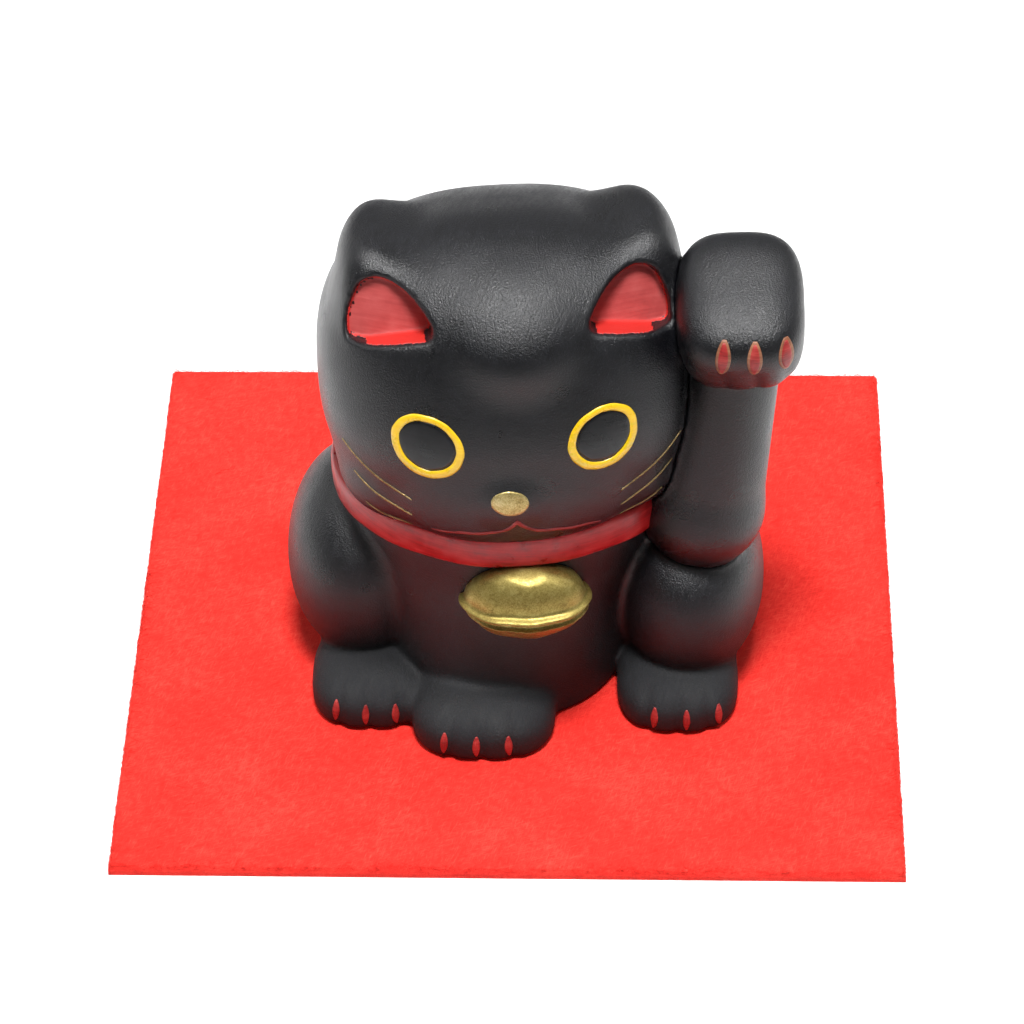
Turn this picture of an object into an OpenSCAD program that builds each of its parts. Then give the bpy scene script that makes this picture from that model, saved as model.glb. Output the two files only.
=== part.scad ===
/*
  Beckoning cat figurine on its felt mat.
  Three hollow or solid pottery castings (body, head, raised arm) are luted together,
  a collar and a bell are laid over the joins, and enamel and gilt marks are painted on top.
  The cat faces -Y and +Z is up. The origin is the centre of the mat's underside.
*/

/* [Cat] */
// Height of the cat above its mat, to the top of the raised paw
cat_height = 46; // [40:1:60]
// How far the head is turned towards the raised paw, in degrees
head_turn = 5.5; // [0:0.5:8]
// Height of the raised paw's wrist above the mat, at the 46 mm size
wrist_height = 35; // [33:0.5:36]

/* [Castings] */
// Thickness of the cast pottery wall
wall = 3.2; // [3.1:0.1:3.6]
// Diameter of the vent in the base, which lets air out in the kiln
vent_d = 3.4; // [3:0.2:3.8]
// Gap left between two castings where they are luted
luting_gap = 0.3; // [0.2:0.05:0.5]
// Spacing of the mesh on the body
body_step = 2; // [1.9:0.05:2.1]
// Spacing of the mesh on the head
head_step = 1.6; // [1.5:0.05:1.8]
// Spacing of the mesh on the raised arm
arm_step = 1.4; // [1.2:0.1:1.6]

/* [Collar and bell] */
// Height of the collar band
collar_h = 3.6; // [3.4:0.2:4.6]
// Thickness of the collar band at its middle
collar_t = 0.8; // [0.6:0.1:1]
// Width of the bell at its rim
bell_w = 11.6; // [10:0.2:12.4]

/* [Painted marks] */
// Thickness of the enamel and gilding
coat_t = 0.22; // [0.16:0.02:0.3]
// Number of whiskers on each cheek
whisker_count = 3; // [2:1:4]
// Number of claws painted on each foot
claw_count = 3; // [3:1:4]

/* [Mat] */
// Side of the square felt mat
mat_side = 70; // [62:1:90]
// Thickness of the felt
mat_t = 1; // [0.8:0.1:3]

/* [Hidden] */

GLAZE = "#1c1c1f";
RED = "#c8151b";
LINING_RED = "#8e1f22";
GILT = "#c9a94e";
YELLOW = "#e5c71f";

// The shapes below are written for a cat 46 mm tall that stands at z = 0.
DESIGN_H = 46;
SCALE = cat_height / DESIGN_H;
HEAD_C = [-0.6, -1.4, 31.2];
BROW_C = [0.3, -9.8, 9.2];
BROW_R = [4.2, 4, 2.3];
BROW_LEAN = 30;
JOWL_C = [8.5, -6.5, -7.2];
JOWL_R = [6.2, 5.5, 4];
SKULL_C = [0.35, 0, 0];
SKULL_R = [16.95, 14.9, 14.2];
HEAD_LEAN = -19;
EAR_X = 10.2;
EAR_LEAN = 21.5;
EAR_CUT = [0, -6.6, 10.7];
EAR_DEPTH = 2;
EAR_KEEP = 7.5;
// Outline of the hollow in the right ear, across and up from EAR_CUT
EAR_OUTLINE = [
    [-3.3, -2.25], [2.4, -3.1], [3.7, -2.7], [3.7, -0.5], [2.5, 2.2], [1, 2.75], [-1, 1.95],
    [-2.8, 0.2], [-3.6, -1.5]
];
EAR_CORNER_R = 0.5;
SHOULDER = [17.1, -7.2, 18.6];
WRIST = [19.6, -6, wrist_height];
PAW_C = [20, -6.6, wrist_height + 5];
PAW_R = [5.5, 6.9, 4.3];
PAW_DROOP = 20;
FRONT_PAW_C = [-2.5, -15.3, 1.3];
FRONT_PAW_R = [6.5, 6, 3];
FOOT_C = [[-12.7, -11.1, 1.2], [15, -11.3, 1.2]];
FOOT_R = [5.5, 6.2, 2.9];
BELL_C = [1.4, -14.6, 13.9];
COLLAR_Z = 19.6;
COLLAR_FROM = -28;
COLLAR_SWEEP = 286;
VENT_AT = [1, 2, 0];
// Torso sections: height, centre x and y, radius x and y
TORSO = [
    [0, -0.7, -4.8, 11, 11.2], [4.5, -0.7, -4.6, 11.3, 11.4], [10, -0.8, -3.8, 12.4, 11.2],
    [14, -0.7, -3, 13.8, 11.4], [18, -0.5, -2.5, 14.8, 12], [23, -0.5, -2.5, 15, 12]
];
TORSO_TOP = 24;

// ---- Rotations and blends ----

function about_x(a) = [[1, 0, 0], [0, cos(a), -sin(a)], [0, sin(a), cos(a)]];
function about_y(a) = [[cos(a), 0, sin(a)], [0, 1, 0], [-sin(a), 0, cos(a)]];
function about_z(a) = [[cos(a), -sin(a), 0], [sin(a), cos(a), 0], [0, 0, 1]];

// Smallest of two fields, with a fillet of about k
function blend(a, b, k) = let (h = max(k - abs(a - b), 0)) min(a, b) - h * h / (4 * k);
// Largest of two fields, with a rounded edge of about k
function carve(a, b, k) = -blend(-a, -b, k);

// ---- Fields: negative inside, about a distance outside ----

// Egg with radii r; n = 2 is an ellipsoid, and a larger n is boxier
function egg(q, r, n = 2) = let (
    u = [for (i = [0:2]) abs(q[i] / r[i]) + 1e-6],
    w = [for (i = [0:2]) pow(u[i], n - 1)],
    k0 = pow(u * w, 1 / n),
    slope = pow(k0, 1 - n) * norm([w[0] / r[0], w[1] / r[1], w[2] / r[2]])
) (k0 - 1) / slope;

// Half space whose outward normal is n, through the point c
function beyond(q, c, n) = (q - c) * n / norm(n);

// Limb from a to b, with end radii ra and rb
function limb(p, a, b, ra, rb) = let (
    ab = b - a,
    t = max(0, min(1, (p - a) * ab / (ab * ab)))
) norm(p - a - t * ab) - ra - (rb - ra) * t;

// Slope at row i of a column of the torso sections
function row_slope(i, c) = let (
    lo = max(i - 1, 0),
    hi = min(i + 1, len(TORSO) - 1)
) (TORSO[hi][c] - TORSO[lo][c]) / (TORSO[hi][0] - TORSO[lo][0]);

// Smooth value of column c of the torso sections at height z
function torso_value(z, c) = let (
    zz = max(TORSO[0][0], min(z, TORSO[len(TORSO) - 1][0])),
    i = max([for (k = [0:len(TORSO) - 2]) if (TORSO[k][0] <= zz) k]),
    h = TORSO[i + 1][0] - TORSO[i][0],
    t = (zz - TORSO[i][0]) / h,
    s = t * t * (3 - 2 * t)
) TORSO[i][c] * (1 - s) + TORSO[i + 1][c] * s
    + row_slope(i, c) * h * t * (1 - t) * (1 - t) - row_slope(i + 1, c) * h * t * t * (1 - t);

function torso(p) = let (
    c = [torso_value(p.z, 1), torso_value(p.z, 2)],
    r = [torso_value(p.z, 3), torso_value(p.z, 4)],
    u = [(p.x - c.x) / r.x, (p.y - c.y) / r.y],
    f = norm(u) + 1e-6
) (f - 1) * f / max(norm([u.x / r.x, u.y / r.y]), 1e-4);

// One ear: a rounded hood with a flat front; s is -1 on the left and 1 on the right
function ear(q, s) = let (
    hood = egg(q - [s * (EAR_X - 0.4) + 0.4, -0.6, 9.8], [5.2, 8.2, 5.8], 2.2),
    topped = carve(hood, beyond(q, [s * (EAR_X + 0.8), 0, 14.9], [-s * 0.62, 0, 0.78]), 2.5)
) carve(topped, beyond(q, [s * (EAR_X + 0.1), -6.6, 10.2], [s * 0.08, -0.93, 0.36]), 1.2);

function in_head(p) = (p - HEAD_C) * about_z(head_turn);

function skull(q) = egg((q - SKULL_C) * about_x(HEAD_LEAN), SKULL_R, 2.5);

// The head: skull, ears, brow, jowls, muzzle and snout
function head(p) = let (
    q = in_head(p),
    eared = blend(blend(skull(q), ear(q, -1), 1.8), ear(q, 1), 1.8),
    browed = blend(eared, egg((q - BROW_C) * about_x(BROW_LEAN), BROW_R), 3.2),
    left = blend(browed, egg(q - [-JOWL_C.x, JOWL_C.y, JOWL_C.z], JOWL_R), 2.5),
    both = blend(left, egg(q - JOWL_C, JOWL_R), 2.5),
    muzzled = blend(both, egg(q - [0, -12, -6.6], [8.5, 3.2, 4.2], 2.2), 3)
) blend(muzzled, egg(q - [-0.5, -13.6, -4.8], [3, 2.2, 2.4]), 1.6);

function thigh(p, c, r) = egg((p - c) * about_x(-8), r, 2.1);
function foot(p, c, r) = egg(p - c, r, 2.7);

function trunk(p) =
    blend(egg(p - [1, 4, 7], [17, 13, 12], 2.3), carve(torso(p), p.z - TORSO_TOP, 3), 3);

function body(p) = let (
    left = blend(trunk(p), thigh(p, [-13.6, -1.5, 8.8], [7.1, 10.6, 9.6]), 1.2),
    thighs = blend(left, thigh(p, [15.9, -3.8, 8], [6.9, 10.5, 9]), 1.2),
    hind = blend(thighs, min(foot(p, FOOT_C[0], FOOT_R), foot(p, FOOT_C[1], FOOT_R)), 0.7),
    front = blend(hind, foot(p, FRONT_PAW_C, FRONT_PAW_R), 0.8),
    tailed = blend(front, egg(p - [6, 16.5, 5], [4.5, 3.5, 4]), 2)
) carve(tailed, -p.z, 0.6);

function arm(p) = let (
    forearm = limb(p, SHOULDER, WRIST, 5.3, 4.1),
    upper = limb(p, SHOULDER, [15, -3, 17.4], 5.3, 4.8),
    paw = egg((p - PAW_C) * about_y(-2) * about_x(PAW_DROOP), PAW_R, 3.1)
) blend(blend(forearm, upper, 1), paw, 0.7);

// The whole outside of the cat
function cat(p) = blend(blend(head(p), body(p), 0.5), arm(p), 0.9);

// The part of the whole whose own field, mine, is smaller than that of its neighbours
function share(p, mine, others) = max(cat(p), mine - others + luting_gap / SCALE);

// The hollow runs through the trunk and the skull and keeps clear of the ears and the arm
function cavity(p) = let (
    t = wall / SCALE,
    q = in_head(p),
    ears = min(norm(q - EAR_CUT - [EAR_X, 0, 0]), norm(q - EAR_CUT + [EAR_X, 0, 0]))
) max(blend(skull(q), trunk(p), 3) + t, t - p.z, EAR_KEEP - ears, t - arm(p));
function vent(p) = norm([p.x - VENT_AT.x, p.y - VENT_AT.y]) - vent_d / 2 / SCALE;
function hollow(p, shape) = max(shape, -cavity(p));

body_field = function (p)
    max(hollow(p, share(p, body(p), min(head(p), arm(p)))), -vent(p));
head_field = function (p) hollow(p, share(p, head(p), min(body(p), arm(p))));
arm_field = function (p) share(p, arm(p), min(head(p), body(p)));

// ---- Closed mesh of a field on a grid of cells ----

// Corners of a cell, and the pairs of corners that its edges join
CORNERS = [for (i = [0, 1], j = [0, 1], k = [0, 1]) [i, j, k]];
EDGES = [for (a = [0:6], b = [a + 1:7]) if (norm(CORNERS[a] - CORNERS[b]) == 1) [a, b]];

// Pairs of grid steps that span the twelve squares round a grid point
AXES = [[1, 0, 0], [0, 1, 0], [0, 0, 1]];
SQUARES = [for (a = [0:2], s = [-1, 1], t = [-1, 1]) [s * AXES[a], t * AXES[(a + 1) % 3]]];

function sum_of(v) = [for (p = v) 1] * v;
function value_at(w, p) = w[p.x][p.y][p.z];

// True where a grid point outside the shape is a square's corner opposite another one, with
// the square's other two corners inside: a surface there would touch itself along an edge
function is_pinched(w, p) = [] != [for (s = SQUARES)
    if (value_at(w, p + s[0]) < 0 && value_at(w, p + s[1]) < 0 && value_at(w, p + s[0] + s[1]) >= 0) 1];

// The grid of values with each pinch filled in, so that the surface never touches itself
function settled(w, n, step, passes = 4) = passes == 0 ? w : settled(
    [for (i = [0:n.x]) [for (j = [0:n.y]) [for (k = [0:n.z]) let (v = w[i][j][k])
        v >= 0 && v < 2 * step && min(i, j, k) > 0 && i < n.x && j < n.y && k < n.z
            && is_pinched(w, [i, j, k]) ? -FILL * step : v]]],
    n, step, passes - 1);
FILL = 0.05;

// Mean of the points where the surface crosses a cell's edges
function cell_point(w, at, step) = let (
    hits = [for (e = EDGES) let (a = w[e[0]], b = w[e[1]]) if ((a < 0) != (b < 0))
        CORNERS[e[0]] + (CORNERS[e[1]] - CORNERS[e[0]]) * a / (a - b)]
) at + step * sum_of(hits) / len(hits);

// The two triangles of a four-cornered face, turned over when flip is true
function two_triangles(a, b, c, d, flip) =
    flip ? [[a, c, b], [a, d, c]] : [[a, b, c], [a, c, d]];

// Points and faces of the surface where the field f is zero, between lo and hi
function skin(f, lo, hi, step) = let (
    n = [for (i = [0:2]) ceil((hi[i] - lo[i]) / step)],
    raw = [for (i = [0:n.x]) [for (j = [0:n.y]) [for (k = [0:n.z]) f(lo + step * [i, j, k])]]],
    w = settled(raw, n, step),
    inside = [for (sheet = w) [for (row = sheet) [for (v = row) v < 0 ? 1 : 0]]],
    mixed = [for (i = [0:n.x - 1], j = [0:n.y - 1], k = [0:n.z - 1]) let (
        s = inside[i][j][k] + inside[i][j][k + 1] + inside[i][j + 1][k] + inside[i][j + 1][k + 1]
            + inside[i + 1][j][k] + inside[i + 1][j][k + 1] + inside[i + 1][j + 1][k]
            + inside[i + 1][j + 1][k + 1]
    ) s > 0 && s < 8 ? 1 : 0],
    id = [for (c = 0, s = 0; c < len(mixed); s = s + mixed[c], c = c + 1) s],
    cell = function (i, j, k) id[(i * n.y + j) * n.z + k],
    points = [for (i = [0:n.x - 1], j = [0:n.y - 1], k = [0:n.z - 1])
        if (mixed[(i * n.y + j) * n.z + k] == 1)
            cell_point([for (c = CORNERS) w[i + c.x][j + c.y][k + c.z]], lo + step * [i, j, k], step)],
    along_x = [for (i = [0:n.x - 1], j = [1:n.y - 1], k = [1:n.z - 1])
        let (a = inside[i][j][k], b = inside[i + 1][j][k]) if (a != b)
            each two_triangles(cell(i, j - 1, k - 1), cell(i, j, k - 1), cell(i, j, k),
                cell(i, j - 1, k), a == 1)],
    along_y = [for (i = [1:n.x - 1], j = [0:n.y - 1], k = [1:n.z - 1])
        let (a = inside[i][j][k], b = inside[i][j + 1][k]) if (a != b)
            each two_triangles(cell(i - 1, j, k - 1), cell(i, j, k - 1), cell(i, j, k),
                cell(i - 1, j, k), a == 0)],
    along_z = [for (i = [1:n.x - 1], j = [1:n.y - 1], k = [0:n.z - 1])
        let (a = inside[i][j][k], b = inside[i][j][k + 1]) if (a != b)
            each two_triangles(cell(i - 1, j - 1, k), cell(i, j - 1, k), cell(i, j, k),
                cell(i - 1, j, k), a == 1)]
) [points, concat(along_x, along_y, along_z)];

module field_solid(f, lo, hi, step) {
    mesh = skin(f, lo, hi, step);
    polyhedron(points = mesh[0], faces = mesh[1]);
}

// ---- Closed skins over a grid of points ----

// Faces of a tube of rings: m points a ring, n rings, closed on itself or capped
function tube_faces(n, m, closed) = concat(
    [for (i = [0:closed ? n - 1 : n - 2], j = [0:m - 1]) let (
        a = i * m + j,
        b = i * m + (j + 1) % m,
        c = ((i + 1) % n) * m + (j + 1) % m,
        d = ((i + 1) % n) * m + j
    ) each [[a, b, c], [a, c, d]]],
    closed ? [] : [
        for (j = [1:m - 2]) [0, j + 1, j],
        for (j = [1:m - 2]) [(n - 1) * m, (n - 1) * m + j, (n - 1) * m + j + 1]
    ]
);

// Distance along the ray from p in the direction d to the field f, by halving steps
function reach(f, p, d, near, far, turns = 16) = turns == 0 ? (near + far) / 2
    : let (mid = (near + far) / 2)
        f(p + mid * d) < 0 ? reach(f, p, d, near, mid, turns - 1) : reach(f, p, d, mid, far, turns - 1);

// A mark painted on the surface: rings of points in the plane of the mark are cast onto
// the field f along d. Each ring is one cross-section of the coat, [edge, edge, ...].
module coat(f, rings, closed, d, far, clear = CLEAR) {
    lift = coat_t / SCALE;
    cast = [for (ring = rings) [for (p = ring) p + d * reach(f, p, d, 0, far)]];
    m = len(rings[0]);
    sections = [for (ring = cast) concat(
        [for (p = ring) p - d * (clear + lift)],
        [for (i = [m - 1:-1:0]) ring[i] - d * clear])];
    polyhedron(points = [for (s = sections) each s], faces = tube_faces(len(rings), 2 * m, closed));
}
CLEAR = 0.16;

// Lifts the 46 mm design onto the mat and scales it
module on_mat() translate([0, 0, mat_t]) scale(SCALE) children();

// ---- Collar ----

COLLAR_STEPS = 56;
COLLAR_OFF = 0.26;
SEAT_GAP = 0.15;
// Half sections of the collar and of its seat: up from the middle and out from the neck
COLLAR_SECTION = [[-1, 0.35], [-0.5, 0.9], [0, 1], [0.5, 0.9], [1, 0.35], [1, 0], [0, 0], [-1, 0]];
SEAT_SECTION = [[-1, 0], [-1, 1], [1, 1], [1, 0]];

// A point on the collar at the angle a round the neck
function collar_point(a, dz, out) = let (
    z = COLLAR_Z + dz,
    r = [torso_value(z, 3) + out, torso_value(z, 4) + out]
) [torso_value(z, 1) + r.x * cos(a), torso_value(z, 2) + r.y * sin(a), z];

// A band round the neck, from the raised arm back to it: grown by gap for its seat
module band(section, gap) {
    half = collar_h / 2 / SCALE + gap;
    thick = collar_t / SCALE + 2 * gap;
    from = COLLAR_FROM + 4 * gap;
    sweep = COLLAR_SWEEP + 8 * gap;
    rings = [for (i = [0:COLLAR_STEPS]) let (a = from - sweep * i / COLLAR_STEPS)
        [for (c = section) collar_point(a, half * c[0], COLLAR_OFF - gap + thick * c[1])]];
    polyhedron(points = [for (r = rings) each r], faces = tube_faces(len(rings), len(section), false));
}

module collar() color(RED) on_mat() band(COLLAR_SECTION, 0);

// ---- Castings ----

// A prism in the hollow of an ear: inset from its sides, from depth behind its face to the front
module ear_prism(s, inset, depth, front) translate(HEAD_C) rotate([0, 0, head_turn])
    translate(EAR_CUT + [s * EAR_X, 0, 0]) rotate([90 - EAR_LEAN, 0, 0])
        translate([0, 0, -depth]) linear_extrude(depth + front)
            offset(r = EAR_CORNER_R - inset, $fn = 16) offset(delta = -EAR_CORNER_R)
                polygon([for (c = EAR_OUTLINE) [s * c.x, c.y]]);

// Castings are cut out where the collar sits on them
module seated() difference() {
    children();
    band(SEAT_SECTION, SEAT_GAP);
}

module body_casting() color(GLAZE) on_mat() seated()
    field_solid(body_field, [-23.5, -24.5, -0.9], [25.6, 22.5, 27], body_step);

module head_casting() color(GLAZE) on_mat() difference() {
    seated() field_solid(head_field, [-20, -19, 15], [18.6, 17.5, 47.5], head_step);
    for (s = [-1, 1]) ear_prism(s, 0, EAR_DEPTH, 6);
}

module raised_arm() color(GLAZE) on_mat() seated()
    field_solid(arm_field, [8.4, -17, 9.4], [27.5, 6.5, 48], arm_step);

// Ear lining: the coat on the back, the floor and the sides of an ear's hollow
module ear_lining(s) color(LINING_RED) on_mat() difference() {
    ear_prism(s, CLEAR, EAR_DEPTH - CLEAR, -0.5);
    ear_prism(s, CLEAR + LINING_T, EAR_DEPTH - CLEAR - LINING_T, 5);
}
LINING_T = 0.3;

// ---- Bell ----

// A flattened ball with a rim round its middle, half sunk in the chest
function bell_shape(p) = let (
    q = (p - BELL_C) * about_y(-2),
    k = bell_w / 11.6 / SCALE,
    ball = egg(q, [5.4 * k, 3.2, 3.9], 2.2),
    rim = egg(q - [0, 0, 0.1], [5.9 * k, 3.7, 0.8], 2)
) blend(ball, rim, 0.5);
bell_field = function (p)
    max(bell_shape(p), CLEAR - torso(p), p.z - COLLAR_Z + collar_h / 2 / SCALE + CLEAR);

module bell() color(GILT) on_mat() field_solid(bell_field, [-5.5, -19.4, 9], [8.3, -11, 18.9], 0.7);

// ---- Painted marks ----

LOOK = [0, 1, 0];
// Points on the head's front plane, given across and up from the head's centre
function on_face(x, z) = HEAD_C + about_z(head_turn) * [x, -22, z];
face_dir = about_z(head_turn) * LOOK;
head_skin = function (p) head(p);

// Closed rings of an oval mark: centre, radii, tilt, from one share of the radius to another
function oval(c, r, tilt, from, to, steps) = [for (i = [0:steps - 1]) let (a = 360 * i / steps)
    [for (s = [from, to]) let (e = [r.x * s * cos(a), r.y * s * sin(a)])
        on_face(c.x + e.x * cos(tilt) - e.y * sin(tilt), c.y + e.x * sin(tilt) + e.y * cos(tilt))]];

EYE_C = [[-7.6, 1.1], [7.5, 1.3]];
EYE_R = [3.25, 2.95];
PUPIL_SHARE = 0.74;
EYE_TILT = [-40, 40];
NOSE_C = [-0.7, -4.1];
NOSE_R = [1.65, 1.25];

module eye_ring(i) color(YELLOW) on_mat()
    coat(head_skin, oval(EYE_C[i], EYE_R, EYE_TILT[i], PUPIL_SHARE + 0.02, 1, 28), true, face_dir, 20);

module pupil(i) color(GLAZE) on_mat()
    coat(head_skin, oval(EYE_C[i], EYE_R, EYE_TILT[i], 0.02, PUPIL_SHARE - 0.02, 24), true, face_dir, 20);

module nose_gilding() color(GILT) on_mat()
    coat(head_skin, oval(NOSE_C, NOSE_R, 0, 0.03, 1, 20), true, face_dir, 20);

// Rings of a stroke along the points of a path, w wide at its middle and tapered at its ends
function stroke(path, w) = let (n = len(path) - 1)
    [for (i = [0:n]) let (
        t = path[min(i + 1, n)] - path[max(i - 1, 0)],
        side = [-t.y, t.x] / norm(t) * w / 2 * (0.25 + 0.75 * sin(180 * i / n))
    ) [for (s = [1, -1]) on_face(path[i].x + side.x * s, path[i].y + side.y * s)]];

// The mouth: a peak under the nose, and a line that drops and runs out along the chin
MOUTH_C = [-0.1, -6.2];
MOUTH_HALF_W = 7.4;
MOUTH_DROP = 1.9;
mouth_path = [for (i = [-12:12]) let (t = i / 12)
    MOUTH_C + [MOUTH_HALF_W * t, MOUTH_DROP * (exp(-8 * abs(t)) - 1)]];

module mouth_line() color(RED) on_mat()
    coat(head_skin, stroke(mouth_path, 0.5), false, face_dir, 24);

// Whiskers: gentle arcs that fan out over each cheek
module whiskers(s) color(GILT) on_mat()
    for (k = [0:whisker_count - 1]) {
        root = [s * 9.1, -5 - 1.9 * k];
        tip = [s * (14.8 - 0.9 * k), -1.7 - 2.9 * k];
        path = [for (i = [0:8]) let (t = i / 8) root + (tip - root) * t - [0, 1.6 * t * (1 - t)]];
        coat(head_skin, s > 0 ? stroke(path, 0.34) : stroke([for (i = [8:-1:0]) path[i]], 0.34),
            false, face_dir, 24);
    }

// Claws: short upright strokes on the front of a foot.
// at is the middle of the row, and size is [pitch, height, width]
module claws(f, at, size) color(RED) on_mat()
    for (k = [0:claw_count - 1]) {
        x = size[0] * (k - (claw_count - 1) / 2);
        rings = [for (i = [0:4]) let (t = i / 4, half = size[2] / 2 * (0.35 + 0.65 * sin(180 * t)))
            [for (e = [1, -1]) [at.x + x - e * half, -30, at.y + size[1] * (t - 0.5)]]];
        coat(f, rings, false, LOOK, 30, CLAW_CLEAR);
    }
CLAW_CLEAR = 0.45;
body_skin = function (p) body(p);
arm_skin = function (p) arm(p);
FOOT_CLAW = [2.7, 2, 0.7];
PAW_CLAW = [2.7, 2.9, 1.1];
PAW_CLAWS_AT = [21.1, wrist_height + 5];
FRONT_CLAWS_AT = [-3, 1.8];
FOOT_CLAWS_AT = [[-13.1, 1.8], [15.9, 1.7]];

// ---- Mat ----

module felt_mat() color(RED)
    translate([-mat_side / 2, -mat_side / 2, 0]) cube([mat_side, mat_side, mat_t]);

felt_mat();
body_casting();
head_casting();
raised_arm();
collar();
bell();
ear_lining(-1);  // left_ear_lining
ear_lining(1);  // right_ear_lining
eye_ring(0);  // left_eye_ring
eye_ring(1);  // right_eye_ring
pupil(0);  // left_pupil
pupil(1);  // right_pupil
nose_gilding();
mouth_line();
whiskers(-1);  // left_whiskers
whiskers(1);  // right_whiskers
claws(arm_skin, PAW_CLAWS_AT, PAW_CLAW);  // raised_paw_claws
claws(body_skin, FRONT_CLAWS_AT, FOOT_CLAW);  // front_paw_claws
claws(body_skin, FOOT_CLAWS_AT[0], FOOT_CLAW);  // left_foot_claws
claws(body_skin, FOOT_CLAWS_AT[1], FOOT_CLAW);  // right_foot_claws
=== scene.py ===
"""Beckoning cat figurine on its red felt mat.

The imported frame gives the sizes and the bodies. Every visible piece is made here as its own
mesh: the pottery castings, the collar and the bell as skins of smooth fields, and the painted
marks as thin coats that lie on those skins.
"""
import logging
import math
from dataclasses import dataclass, field
from enum import Enum
from typing import Any, Callable, Sequence

import bpy
import numpy as np
from mathutils import Matrix, Vector


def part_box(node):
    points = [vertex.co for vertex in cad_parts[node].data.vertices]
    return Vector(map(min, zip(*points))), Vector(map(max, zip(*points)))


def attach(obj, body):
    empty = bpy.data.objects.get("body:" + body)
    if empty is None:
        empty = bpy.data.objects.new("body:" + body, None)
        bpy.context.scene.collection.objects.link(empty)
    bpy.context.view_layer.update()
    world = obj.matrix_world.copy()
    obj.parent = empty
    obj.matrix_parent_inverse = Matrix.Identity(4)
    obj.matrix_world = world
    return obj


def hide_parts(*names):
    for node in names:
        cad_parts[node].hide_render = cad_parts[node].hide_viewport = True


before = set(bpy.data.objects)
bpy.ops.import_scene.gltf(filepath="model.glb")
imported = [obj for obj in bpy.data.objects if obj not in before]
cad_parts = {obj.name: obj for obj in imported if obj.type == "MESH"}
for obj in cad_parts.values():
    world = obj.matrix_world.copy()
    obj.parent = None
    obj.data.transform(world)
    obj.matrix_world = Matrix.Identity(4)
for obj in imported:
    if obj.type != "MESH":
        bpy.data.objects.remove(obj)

log = logging.getLogger("beckoning_cat")

Array = np.ndarray
Field = Callable[[Array], Array]
Socket = bpy.types.NodeSocket

MM = 0.001
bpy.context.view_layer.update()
MAT_LOW, MAT_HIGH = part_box("felt_mat")
EYE_LOW, EYE_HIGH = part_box("left_eye_ring")

# The fields below are in millimetres, on z = 0, for a cat whose left eye is this far up
DESIGN_EYE_HEIGHT = 32.3
SCALE = ((EYE_LOW[2] + EYE_HIGH[2]) / 2 - MAT_HIGH[2]) / MM / DESIGN_EYE_HEIGHT
MAT_CENTRE = (MAT_LOW + MAT_HIGH) / 2


# ---------------------------------------------------------------------------------------
# Colour and shader helpers
# ---------------------------------------------------------------------------------------

def linear(hex_colour: str) -> tuple[float, float, float, float]:
    """Turns an sRGB hex colour into linear light.

    Args:
        hex_colour: Six hex digits with a leading hash.

    Returns:
        Red, green, blue and an alpha of one.
    """
    channels = [int(hex_colour[i:i + 2], 16) / 255 for i in (1, 3, 5)]
    light = [c / 12.92 if c <= 0.04045 else ((c + 0.055) / 1.055) ** 2.4 for c in channels]
    return (*light, 1.0)


def node(tree: bpy.types.NodeTree, kind: str, settings: dict | None = None,
         links: dict | None = None) -> bpy.types.Node:
    """Adds one shader node with its settings and links.

    Args:
        tree: The node tree that takes the node.
        kind: The node's type, such as "ShaderNodeTexNoise".
        settings: Attributes and unlinked input values, by name or input number.
        links: Output sockets by the name or number of the input that they feed.

    Returns:
        The new node.
    """
    made = tree.nodes.new(kind)
    for name, value in (settings or {}).items():
        if isinstance(name, str) and hasattr(made, name):
            setattr(made, name, value)
        else:
            made.inputs[name].default_value = value
    for name, socket in (links or {}).items():
        tree.links.new(socket, made.inputs[name])
    return made


def grey(value: float) -> tuple[float, float, float, float]:
    """Grey of one linear value."""
    return (value, value, value, 1.0)


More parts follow.
